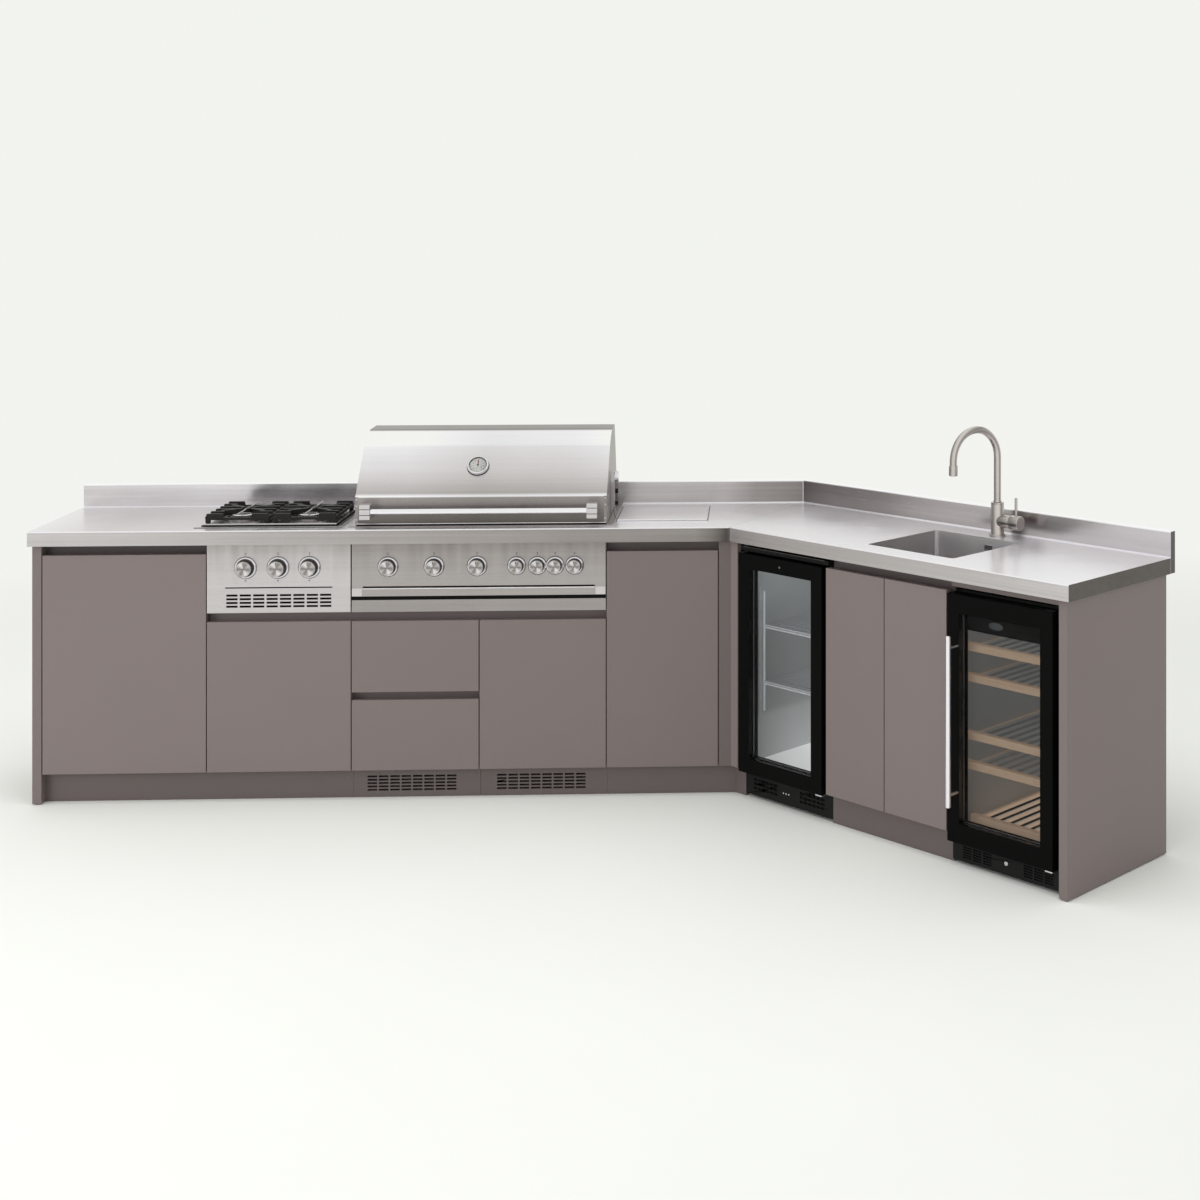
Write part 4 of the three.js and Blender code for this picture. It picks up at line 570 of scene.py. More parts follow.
@finish
def lit_panel(sheet, strength):
    """A lit strip: pale cool plastic over lamps."""
    cells = sheet.noise(120.0)
    sheet.set(
        Base_Color=(0.8, 0.85, 0.9),
        Emission_Color=sheet.blend(cells, (0.78, 0.9, 1.0), (0.9, 0.97, 1.0)),
        Emission_Strength=strength,
        Roughness=0.4,
    )


# Modelling helpers: shapes are drawn in millimetres on the run or the leg, then settled in metres
def alone(piece):
    bpy.ops.object.select_all(action="DESELECT")
    piece.select_set(True)
    bpy.context.view_layer.objects.active = piece


def linked(name, data):
    piece = bpy.data.objects.new(name, data)
    bpy.context.scene.collection.objects.link(piece)
    return piece


def with_modifier(piece, kind, **settings):
    alone(piece)
    modifier = piece.modifiers.new(kind.lower(), kind)
    for key, value in settings.items():
        setattr(modifier, key, value)
    bpy.ops.object.modifier_apply(modifier=modifier.name)


def smoothed(piece, angle=50):
    alone(piece)
    bpy.ops.object.shade_smooth_by_angle(angle=math.radians(angle))
    return piece


def rounded(piece, width, segments):
    """Rounds the sharp edges and keeps the flat faces flat to the light."""
    with_modifier(
        piece,
        "BEVEL",
        width=width,
        segments=segments,
        limit_method="ANGLE",
        angle_limit=math.radians(30),
        use_clamp_overlap=True,
    )
    smoothed(piece)
    with_modifier(piece, "WEIGHTED_NORMAL", keep_sharp=True, weight=80)


def coated(piece, finish_used):
    piece.data.materials.append(finish_used)
    return piece


def recoated(piece, finish_used):
    piece.data.materials.clear()
    return coated(piece, finish_used)


def settled(piece, name, finish_used=None, place=RUN, body="kitchen", stands_for=None):
    """Puts a finished piece in its place in the row frame, in metres."""
    alone(piece)
    bpy.ops.object.transform_apply(location=True, rotation=True, scale=True)
    piece.data.transform(place)
    if finish_used:
        recoated(piece, finish_used)
    piece.name = name
    piece.data.name = name
    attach(piece, body)
    if stands_for:
        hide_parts(stands_for)
    return piece


def drawn(shape, name):
    """Turns a finished bmesh into a piece."""
    bmesh.ops.recalc_face_normals(shape, faces=shape.faces)
    mesh = bpy.data.meshes.new(name)
    shape.to_mesh(mesh)
    shape.free()
    return linked(name, mesh)


def block(x, y, z, edge=0.8, segments=2, draw_in=1.0):
    """A squared piece with eased edges; draw_in narrows it towards its top."""
    shape = bmesh.new()
    bmesh.ops.create_cube(shape, size=1)
    for corner in shape.verts:
        share = draw_in if corner.co.z > 0 else 1.0
        corner.co.x = (x[0] + x[1]) / 2 + corner.co.x * share * (x[1] - x[0])
        corner.co.y = (y[0] + y[1]) / 2 + corner.co.y * share * (y[1] - y[0])
        corner.co.z = (z[0] + z[1]) / 2 + corner.co.z * (z[1] - z[0])
    if edge:
        bmesh.ops.bevel(
            shape, geom=shape.edges[:], offset=edge, segments=segments, profile=0.5, affect="EDGES"
        )
    piece = smoothed(drawn(shape, "block"))
    if edge:
        with_modifier(piece, "WEIGHTED_NORMAL", keep_sharp=True, weight=80)
    return piece


def turned(points, sides=48, hollow=False):
    """A shape turned about the upright axis from points of radius and height."""
    shape = bmesh.new()
    rings = []
    for radius, along in points:
        turns = [2 * math.pi * step / sides for step in range(sides)]
        rings.append([
            shape.verts.new((*around(radius, turn), along)) for turn in turns
        ])
    pairs = list(zip(rings, rings[1:]))
    if hollow:
        pairs.append((rings[-1], rings[0]))
    for low, high in pairs:
        for step in range(sides):
            after = (step + 1) % sides
            shape.faces.new((low[step], low[after], high[after], high[step]))
    if not hollow:
        shape.faces.new(rings[0][::-1])
        shape.faces.new(rings[-1])
    return smoothed(drawn(shape, "turned"), 35)


def laid(piece, matrix):
    piece.data.transform(matrix)
    return piece


def moved(piece, x, y, z=0):
    return laid(piece, Matrix.Translation((x, y, z)))


def facing_front(x, y, z):
    """Stands a turned piece on the face at y, looking out of the front."""
    return Matrix.Translation((x, y, z)) @ Matrix.Rotation(math.pi / 2, 4, "X")


def around(radius, turn):
    return radius * math.cos(turn), radius * math.sin(turn)


def rod(radius, start, end, sides=32, ease=None):
    """A straight bar between two points with eased ends."""
    start = Vector(start)
    run = Vector(end) - start
    ease = radius * 0.15 if ease is None else ease
    points = [
        (radius - ease, 0), (radius, ease), (radius, run.length - ease), (radius - ease, run.length)
    ]
    turn = run.to_track_quat("Z", "Y").to_matrix().to_4x4()
    return laid(turned(points, sides), Matrix.Translation(start) @ turn)


def joined(*pieces):
    alone(pieces[0])
    for piece in pieces:
        piece.select_set(True)
    if len(pieces) > 1:
        bpy.ops.object.join()
    return bpy.context.active_object


def tube(radius, points, sides):
    """A round bar along a smooth path."""
    path = bpy.data.curves.new("path", "CURVE")
    path.dimensions = "3D"
    path.bevel_depth = radius
    path.bevel_resolution = sides // 4
    path.use_fill_caps = True
    line = path.splines.new("POLY")
    line.points.add(len(points) - 1)
    for point, place in zip(line.points, points):
        point.co = (*place, 1)
    alone(linked("path", path))
    bpy.ops.object.convert(target="MESH")
    return smoothed(bpy.context.active_object)


def figure(text, height, depth=0.3):
    """A plain printed figure, flat on the ground plane."""
    bpy.ops.object.select_all(action="DESELECT")
    bpy.ops.object.text_add()
    piece = bpy.context.active_object
    piece.data.body = text
    piece.data.size = height
    piece.data.extrude = depth / 2
    piece.data.align_x = "CENTER"
    piece.data.align_y = "CENTER"
    bpy.ops.object.convert(target="MESH")
    return bpy.context.active_object


def dressed(node, finish_used, edge=1.0, body="kitchen", segments=2, cuts=()):
    """A copy of a solid, merged, scored where asked, with its edges rounded."""
    piece = linked(node + "_finished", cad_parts[node].data.copy())
    alone(piece)
    if piece.data.has_custom_normals:
        bpy.ops.mesh.customdata_custom_splitnormals_clear()
    bpy.ops.object.mode_set(mode="EDIT")
    bpy.ops.mesh.select_all(action="SELECT")
    bpy.ops.mesh.remove_doubles(threshold=0.00002)
    bpy.ops.mesh.dissolve_limited(angle_limit=math.radians(0.5))
    for point, normal in cuts:
        bpy.ops.mesh.select_all(action="SELECT")
        bpy.ops.mesh.bisect(plane_co=point, plane_no=normal)
    bpy.ops.object.mode_set(mode="OBJECT")
    rounded(piece, edge * MM, segments)
    recoated(piece, finish_used)
    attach(piece, body)
    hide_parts(node)
    return piece


def refaced(piece, finish_used, place, low, high, facing=None):
    """Gives the faces whose middles lie in a box, in place's millimetres, another finish."""
    inside = place.inverted()
    turn = inside.to_3x3().normalized()
    index = len(piece.data.materials)
    coated(piece, finish_used)
    for face in piece.data.polygons:
        middle = inside @ face.center
        within = all(a <= b <= c for a, b, c in zip(low, middle, high))
        if within and (facing is None or (turn @ face.normal).dot(Vector(facing)) > 0.7):
            face.material_index = index
    return piece


def paint(node, finish_used):
    recoated(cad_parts[node], finish_used)


# Camera, floor and light
FOCAL_PX = 1785.92
CENTRE_PX = 831.83
HORIZON_PX = 211.79
IMAGE_PX = 1200
EYE = (94.43, -5961.86, 1950.85)
YAW = 0.041564
SENSOR = 36.0
ROOM = linear(242, 243, 238)
WORLD_LIGHT = 0.86
FLOOR_NEAR = 3.4
FLOOR_FAR = 5.4


def add_camera():
    lens = bpy.data.cameras.new("camera")
    lens.sensor_width = SENSOR
    lens.lens = FOCAL_PX / IMAGE_PX * SENSOR
    lens.shift_x = (IMAGE_PX / 2 - CENTRE_PX) / IMAGE_PX
    lens.shift_y = (HORIZON_PX - IMAGE_PX / 2) / IMAGE_PX
    camera = linked("camera", lens)
    camera.location = RUN @ Vector(EYE)
    camera.rotation_euler = (math.pi / 2, 0, -YAW)
    bpy.context.scene.camera = camera


def add_world():
    """Camera, metal and glass see the pale room; everything else is lit more softly."""
    world = bpy.data.worlds.new("studio")
    bpy.context.scene.world = world
    world.use_nodes = True
    nodes, links = world.node_tree.nodes, world.node_tree.links
    nodes.clear()
    path = nodes.new("ShaderNodeLightPath")
    seen = path.outputs["Is Camera Ray"]
    for kind in ("Is Glossy Ray", "Is Transmission Ray"):
        either = nodes.new("ShaderNodeMath")
        either.operation = "MAXIMUM"
        links.new(seen, either.inputs[0])
        links.new(path.outputs[kind], either.inputs[1])
        seen = either.outputs[0]
    mix = nodes.new("ShaderNodeMixShader")
    links.new(seen, mix.inputs[0])
    for socket, colour, strength in ((1, (1, 1, 1), WORLD_LIGHT), (2, ROOM, 1)):
        light = nodes.new("ShaderNodeBackground")
        light.inputs[0].default_value = (*colour, 1)
        light.inputs[1].default_value = strength
        links.new(light.outputs[0], mix.inputs[socket])
    output = nodes.new("ShaderNodeOutputWorld")
    links.new(mix.outputs[0], output.inputs[0])


def add_floor():
    """A pale floor that takes the shadow near the kitchen and runs into the room's colour."""
    bpy.ops.object.select_all(action="DESELECT")
    bpy.ops.mesh.primitive_plane_add(size=90, location=(0, 0, 0))
    floor = bpy.context.active_object
    floor.name = "floor"
    sheet = Sheet("floor")
    sheet.set(
        Base_Color=sheet.blend(sheet.noise(1.5), (0.84, 0.85, 0.81), (0.87, 0.88, 0.84)),
        Roughness=0.9,
        Specular_IOR_Level=0.1,
    )
    across, depth, _ = sheet.parts()
    away = (across * across + depth * depth) ** 0.5
    far = ((away - FLOOR_NEAR) / (FLOOR_FAR - FLOOR_NEAR)).kept()
    room = sheet.node("ShaderNodeEmission", inputs={0: ROOM, 1: 1.0})
    sheet.mixed(far, room, surface_second=False)
    coated(floor, sheet.material)


def add_lamp(name, place, aim, size, power):
    lamp = bpy.data.lights.new(name, "AREA")
    lamp.shape = "RECTANGLE"
    lamp.size, lamp.size_y = size
    lamp.energy = power
    holder = linked(name, lamp)
    holder.location = place
    holder.visible_glossy = False
    direction = Vector(aim) - Vector(place)
    holder.rotation_euler = direction.to_track_quat("-Z", "Y").to_euler()


def add_lamps():
    add_lamp("overhead", (-0.6, -0.8, 4.4), (0, 0.1, 0.6), (4.6, 2.6), 60)
    add_lamp("front_left", (-4.4, -4.4, 2.4), (-0.6, 0, 0.5), (2.4, 2.0), 70)


# Counter, fronts and carcasses
LID_X = (-387, -73)
LID_Y = (128, 432)
LID_SEAL = 1.6
GRILLES_X = (-1057.4, -628.5)
# Near-black of the sheets that stand for painted shade in gaps and openings.
DARKEST = 0.004


def dress_counter():
    dressed("worktop", counter_steel(), 1.5, segments=3)
    dressed("upstand", counter_steel(), 1.2)
    lid = dressed("worktop_lid", counter_steel(), body="lid")
    # Brighter steel on the lid's front edge: painted highlight.
    refaced(lid, brushed(0.95, 0.22), RUN, (-384, 131, 900.6), (-76, 136, 906), (0, -1, 0))
    paint("worktop_tub", brushed(0.5, 0.34))
    seals = [
        block(x, y, (899.4, 900.3), 0.3, 1)
        for x, y in (
            (LID_X, (LID_Y[0], 130)),
            (LID_X, (LID_Y[1] - LID_SEAL, LID_Y[1])),
            ((LID_X[0], LID_X[0] + LID_SEAL), LID_Y),
            ((-74.4, LID_X[1]), LID_Y),
        )
    ]
    settled(joined(*seals), "lid_seal", moulded(0.16))


def dress_fronts():
    # Each front's shade is painted light: brightest at the left of the run and dimmer towards the
    # corner; the sink doors and drawers have their own.
    for name, shade in {"left": 1.0, "hob": 0.98, "grill": 0.94, "corner": 0.90}.items():
        dressed(f"door_{name}", taupe(shade), body=f"{name}_door")
    for side, shade in (("left", 0.94), ("right", 0.97)):
        dressed(f"sink_door_{side}", taupe(shade), body=f"sink_{side}_door")
    for level in ("upper", "lower"):
        dressed(f"drawer_{level}", taupe(0.95), body=f"{level}_drawer")
    filler = dressed("corner_filler", taupe(0.96))
    # Painted shade on the filler's front face.
    refaced(filler, taupe(0.66), RUN, (-60, 5, 0), (60, 35, 860), (0, -1, 0))
    # A near-black board in the hollow beside the fridge case, standing for the shade there and
    # closing the view through.
    board = block((-33.6, 196), (226, 236), (104, 850), 1.0)
    settled(board, "corner_shade_board", moulded(0.02))
    # End panels darker than the fronts: painted shade.
    for side, shade in (("left", 0.9), ("right", 0.92)):
        dressed(f"end_panel_{side}", taupe(shade))
    # Plinths darker than the fronts: partly their own tone, partly painted shade under the overhang.
    for name in ("left", "vents", "corner", "sink"):
        dressed(f"plinth_{name}", taupe(0.66), 0.4)
    # Painted shade in each cabinet's finger channel, set per cabinet.
    recesses = {"left": 0.5, "hob": 1.0, "grill": 1.0, "corner": 0.7, "sink": 0.6}
    for name, shade in recesses.items():
        paint(f"{name}_cabinet", taupe(0.9, shade))
    # Near-black sheets behind the grilles: painted shade inside them.
    for middle in GRILLES_X:
        grille_shade_sheet = block((middle - 154, middle + 154), (66.4, 67.4), (14, 78), 0.3, 1)
        settled(grille_shade_sheet, f"grille_shade_{round(-middle)}", moulded(DARKEST))


# Control panels, knobs and bezels
PANEL_FACE = 12
VENTS_X = (-1672, -1302)
VENTS_Z = (634, 716)
AIR_SLOT_X = (-1225, -434)
AIR_SLOT_Z = (698, 716)
GRILL_PANEL_X = (-1249, -410)
KNOB_HEIGHT = 775
KNOB_FOOT = 5.5
KNOB_LENGTH = 24
SMALL_KNOB = 22
HOB_KNOBS = ((-1595.3, 25), (-1489.3, 25), (-1386.6, 25))
GRILL_KNOBS = (
    (-1129.1, 24), (-977.6, 24), (-836.2, 24),
    (-705.6, 21.5), (-637.0, 21.5), (-578.4, 21.5), (-514.0, 21.5),
)


def add_knob(node, body, x, radius):
    top = KNOB_LENGTH
    grip = turned(
        [
            (radius - 1.6, 0), (radius - 0.6, 0.4), (radius - 0.2, 1.4), (radius - 0.2, 17.5),
            (radius, 18.2), (radius, top - 2.2), (radius - 0.5, top - 0.9),
            (radius - 1.5, top - 0.2), (radius - 2.6, top), (radius - 3.4, top - 0.3),
            (radius - 4.0, top - 0.9), (0.6, top - 0.9), (0.3, top - 0.9),
        ],
        72,
    )
    shaft = turned([(3.4, -18), (3.9, -17.5), (3.9, 0.2)], 24)
    pointer = block((-1.1, 1.1), (radius * 0.42, radius * 0.86), (top - 1.1, top - 0.5), 0.3, 1)
    line = block((-0.35, 0.35), (-radius * 0.78, -3), (top - 1.0, top - 0.78), 0.1, 1)
    for piece in (grip, shaft):
        coated(piece, brushed(0.58, 0.22))
    for piece in (pointer, line):
        coated(piece, moulded(0.05))
    knob = joined(grip, shaft, pointer, line)
    layer = knob.data.uv_layers.new(name="face")
    for loop in knob.data.loops:
        spot = knob.data.vertices[loop.vertex_index].co
        layer.data[loop.index].uv = (spot.x / radius, spot.y / radius)
    index = len(knob.data.materials)
    coated(knob, spun_steel())
    for face in knob.data.polygons:
        if face.normal.z > 0.95 and face.center.z > top - 1.0 and face.material_index == 0:
            face.material_index = index
    laid(knob, facing_front(x, KNOB_FOOT, KNOB_HEIGHT))
    settled(knob, node + "_turned", body=body, stands_for=node)


def add_bezel(name, x, radius):
    """A polished ring over the pressed one, with a dark disc for the painted shade in the gap that
    the knob turns in, and a dark outline round the ring.
    """
    rise = PANEL_FACE - 6
    inner = radius - 5.4
    stand = facing_front(x, PANEL_FACE, KNOB_HEIGHT)
    ring = turned(
        [
            (inner, rise + 0.4), (radius - 4.6, rise + 0.9), (radius - 3.4, rise + 1.0),
            (radius - 1.4, rise - 0.2), (radius + 0.3, rise - 2.6), (radius + 1.1, 0.1),
            (radius - 2.0, 0.1), (inner, rise + 0.1),
        ],
        72,
        hollow=True,
    )
    settled(laid(ring, stand), name + "_bezel", brushed(0.86, 0.14))
    # Painted shade: a dark disc in the gap round the knob.
    gap = turned(
        [
            (2, rise + 0.05), (inner, rise + 0.05), (inner, rise + 0.35),
            (radius - 6, rise + 0.35), (5.2, rise + 0.35), (5.2, rise + 0.1),
        ],
        hollow=True,
    )
    outline = turned([(radius + 1.0, 0.05), (radius + 1.0, 0.3), (radius + 2.3, 0.1)], 72, True)
    gap = laid(joined(gap, outline), stand)
    settled(gap, name + "_gap", moulded(0.035))


def add_marks(name, knobs, ring_room, both):
    """Small printed marks over each knob, and under the hob's."""
    marks = []
    for x, radius in knobs:
        top = KNOB_HEIGHT + radius + ring_room
        low = KNOB_HEIGHT - radius - ring_room
        rows = [(1.2, top + 6, top + 11), (3.2, top + 12.5, top + 13.8)]
        if both:
            rows.append((2.6, low - 10, low - 6.5))
        for half, foot, head in rows:
            face = (PANEL_FACE - 0.16, PANEL_FACE + 0.2)
            marks.append(block((x - half, x + half), face, (foot, head), 0.05, 1))
    settled(joined(*marks), name, moulded(0.04))


def dress_panels():
    # Near-black on the walls of the vents and air slots and on the faces in the gap over the drip
    # tray: painted shade.
    painted_slot_shade = moulded(0.01)
    near, far = PANEL_FACE + 0.8, PANEL_FACE + 3.6
    hob = dressed("hob_control_panel", panel_steel(0.60), 0.5)
    refaced(hob, brushed(0.80, 0.2), RUN, (-1722, 5, 840), (-1251, 32, 853), (0, 0, 1))
    grill = dressed("grill_control_panel", panel_steel(0.42), 0.5)
    for panel, x, z in ((hob, VENTS_X, VENTS_Z), (grill, AIR_SLOT_X, AIR_SLOT_Z)):
        refaced(panel, painted_slot_shade, RUN, (x[0], near, z[0]), (x[1], far, z[1]))
    low, high = (GRILL_PANEL_X[0], near, 670), (GRILL_PANEL_X[1], 32, 682)
    refaced(grill, painted_slot_shade, RUN, low, high, (0, 0, -1))
    for row, knobs, room in (("hob", HOB_KNOBS, (10, 10)), ("grill", GRILL_KNOBS, (8, 7.5))):
        for number, (x, radius) in enumerate(knobs, 1):
            add_knob(f"{row}_knob_{number}", f"{row}_control_{number}", x, radius)
            add_bezel(f"{row}_{number}", x, radius + room[radius < SMALL_KNOB])
    add_marks("hob_marks", HOB_KNOBS, 10, True)
    add_marks("grill_marks", GRILL_KNOBS, 8, False)
    for name, x, z in (("vent", VENTS_X, VENTS_Z), ("air_slot", AIR_SLOT_X, AIR_SLOT_Z)):
        shade = block(x, (16.2, 17.2), z, 0.3, 1)
        settled(shade, name + "_shade", moulded(DARKEST))
    lip = rod(2.0, (-1212, 10.9, 702.2), (-447, 10.9, 702.2), 20)
    settled(lip, "air_slot_lip", brushed(0.88, 0.18))
    for side, x in (("left", (-1247.6, -1214)), ("right", (-445, -411.4))):
        end = block(x, (10.6, 13), (677.4, 704), 0.6)
        settled(end, f"air_slot_end_{side}", brushed(0.62, 0.26))
    tray = dressed("drip_tray", brushed(0.36, 0.30), 0.7, "tray")
    low, high = (GRILL_PANEL_X[0], 12.4, 663), (GRILL_PANEL_X[1], 60, 666)
    refaced(tray, painted_slot_shade, RUN, low, high, (0, 0, 1))
    gap = block((-1247, -412), (13.4, 17), (664.9, 676.5), 0.3, 1)
    settled(gap, "tray_gap_shade", moulded(DARKEST))


# Hob
HOB_SUPPORTS = {"left": (-1750, -1538), "right": (-1527, -1315)}
SUPPORT_Y = (84.6, 352.4)
FINGER_REACH = (62, 50, 74, 74, 50, 62)
HOB_BURNERS = (-1644, -1421)
BURNER_Y = 161.9


def add_pan_support(side, x):
    y = SUPPORT_Y
    middle = (x[0] + x[1]) / 2
    parts = []
    for edge, inward in ((x[0], 1), (x[1], -1)):

        def inset(low, high):
            return sorted((edge + low * inward, edge + high * inward))

        parts.append(block(inset(0.2, 15), y, (922, 933), 2.4))
        for foot_y in (y[0] + 8, y[1] - 8):
            parts.append(block(inset(1, 16), (foot_y - 8, foot_y + 8), (910.7, 926), 2.0))
        for step, reach in enumerate(FINGER_REACH):
            along = y[0] + 7 + step * (y[1] - y[0] - 14) / 5
            span = (along - 6.5, along + 6.5)
            parts.append(block(inset(0.2, reach), span, (921, 941.4), 2.2, 2, 0.86))
        for turn in (-1, 1):
            start = Vector((edge + 34 * inward, sum(y) / 2 + turn * 62, 931))
            end = Vector((middle - 14 * inward, sum(y) / 2 + turn * 12, 931))
            arm = block((0, (end - start).length), (-6.5, 6.5), (-8, 10.2), 2.0)
            heading = math.atan2(end.y - start.y, end.x - start.x)
            laid(arm, Matrix.Translation(start) @ Matrix.Rotation(heading, 4, "Z"))
            parts.append(arm)
    parts.append(block((middle - 8, middle + 8), (y[0] + 104, y[1] - 104), (922, 941.3), 2.2))
    for low, high in ((y[0], y[0] + 12), (y[1] - 12, y[1])):
        parts.append(block((x[0] + 6, x[1] - 6), (low + 1, high - 1), (920, 929), 2.0))
    node = f"pan_support_{side}"
    settled(joined(*parts), node + "_cast", cast_iron(), stands_for=node)
    lifter = rod(2.6, (middle, y[0] + 14, 938.6), (middle, y[1] - 6, 938.6), 16)
    settled(lifter, f"support_rod_{side}", brushed(0.42, 0.2))


def add_burner(number, x):
    base = coated(turned([
        (46.6, 910.4), (48.4, 911.4), (48.4, 916.8), (46.8, 918.6), (39, 918.9), (38, 918.9),
    ], 64), brushed(0.3, 0.26))
    ports = coated(turned([
        (37.2, 918.7), (38.4, 919.4), (38.4, 924.6), (36.6, 926.6), (20, 927.4), (8, 927.6),
    ], 64), cast_iron())
    ring = coated(turned([
        (24, 927.2), (33.5, 926.8), (35.6, 927.2), (35.2, 928.6),
        (33, 929.3), (26, 929.5), (24.2, 928.8),
    ], 64, True), brushed(0.9, 0.16))
    cap = coated(turned([
        (15, 927.4), (16.4, 928.2), (16.2, 929.0), (14.6, 929.4), (3, 929.5),
    ]), brushed(0.26, 0.3))
    teeth = [
        laid(
            block((37.4, 39.6), (-1.6, 1.6), (919.6, 924.4), 0.4, 1),
            Matrix.Rotation(2 * math.pi * step / 24, 4, "Z"),
        )
        for step in range(24)
    ]
    burner = joined(base, ports, ring, cap, coated(joined(*teeth), brushed(0.45, 0.3)))
    settled(moved(burner, x, BURNER_Y), f"burner_{number}")


def dress_hob():
    tray = dressed("hob_tray", brushed(0.66, 0.28), 0.6)
    refaced(tray, brushed(0.74, 0.24), RUN, (-1754, 73, 909), (-1311, 364, 912), (0, 0, 1))
    for side, x in HOB_SUPPORTS.items():
        add_pan_support(side, x)
    for number, x in enumerate(HOB_BURNERS, 1):
        add_burner(number, x)
    # Dark lines round the tray's raised plate and along its front: a thin seal with its painted
    # shadow.
    lines = [
        block(x, y, (foot, top), edge, 1)
        for x, y, foot, top, edge in (
            ((-1757, -1308), (69.5, 73.8), 902.1, 906, 0.4),
            ((-1311.8, -1307.6), (70, 366), 902.1, 906, 0.4),
            ((-1757.4, -1753.2), (70, 366), 902.1, 904, 0.4),
            ((-1757, -1308), (363.4, 366.6), 902.1, 904, 0.4),
            ((-1300.4, -1297), (76, 352), 902.1, 902.9, 0.2),
            ((-1776.4, -1288.6), (50.8, 52.2), 900.1, 901.4, 0.2),
        )
    ]
    settled(joined(*lines), "hob_seal_shadow_lines", moulded(0.008))


# Grill hood with its bar handle and its gauge
HOOD_X = (-1247.5, -411.5)
HOOD_FOLDS_X = (-1238, -421)
GAUGE = Vector((-852.5, 142, 1087))
SLOPE_UP = Vector((0, 0.6775, 0.7356))
SLOPE_OUT = Vector((0, -0.7356, 0.6775))
DIAL_START = 225
DIAL_SWEEP = 270
DIAL_TICKS = 32
DIAL_FIGURES = 8


def dress_hood():
    cuts = [(RUN @ Vector((x, 0, 0)), (1, 0, 0)) for x in HOOD_FOLDS_X]
    cuts += [(RUN @ Vector((0, 0, z)), (0, 0, 1)) for z in (911, 992)]
    hood = dressed("hood", hood_steel(), 0.9, "hood", 3, cuts)
    for x in ((-1248, HOOD_FOLDS_X[0]), (HOOD_FOLDS_X[1], -411)):
        edge = brushed(0.30, 0.32, 0, "upright")
        refaced(hood, edge, RUN, (x[0], 55, 905), (x[1], 62, 1002), (0, -1, 0))
    # The hood's side faces get darker steel: painted shade.
    for shade, x, facing in ((0.24, (-1249, -1247), -1), (0.30, (-412, -410), 1)):
        low, high = (x[0], 59, 905), (x[1], 480, 1200)
        refaced(hood, brushed(shade, 0.34), RUN, low, high, (facing, 0, 0))
    hem = rod(1.7, (HOOD_X[0] + 3, 60.6, 908.2), (HOOD_X[1] - 3, 60.6, 908.2), 16)
    settled(hem, "hood_hem", brushed(0.85, 0.2), body="hood")
    gap = block((HOOD_X[0] + 2, HOOD_X[1] - 2), (64, 66), (902.2, 906.4), 0.3, 1)
    settled(gap, "hood_shadow_strip", moulded(0.006))
    screws = [
        laid(turned([(2.6, 0), (2.6, 0.5), (1.8, 1.0), (0.6, 1.1)], 16), facing_front(x, 60.0, z))
        for x in (HOOD_X[0] + 5, HOOD_X[1] - 5)
        for z in (922, 968, 990)
    ]
    settled(joined(*screws), "hood_screws", brushed(0.7, 0.25), body="hood")
    add_handle()
    add_gauge()


def add_handle():
    parts = [coated(rod(9, (-1206, 10, 957), (-453, 10, 957), 40, 0.6), brushed(0.92, 0.18))]
    for middle in (-1203.5, -455.5):
        x = (middle - 18, middle + 18)
        core = block((x[0] + 1.4, x[1] - 1.4), (-1.6, 59.6), (934, 980), 1.2)
        parts.append(coated(core, moulded(0.05)))
        for z in ((932.1, 946.6), (948.0, 965.8), (967.2, 981.9)):
            parts.append(coated(block(x, (-3.8, 59.6), z, 1.8, 3), brushed(0.66, 0.22)))
        for z in (932.4, 981.4):
            washer = block((x[0] + 3, x[1] - 3), (40, 58), (z - 0.2, z + 0.4), 0.2, 1)
            parts.append(coated(washer, brushed(0.4, 0.3)))
    bar = joined(*parts)
    settled(bar, "hood_bar_handle", body="hood", stands_for="hood_handle")


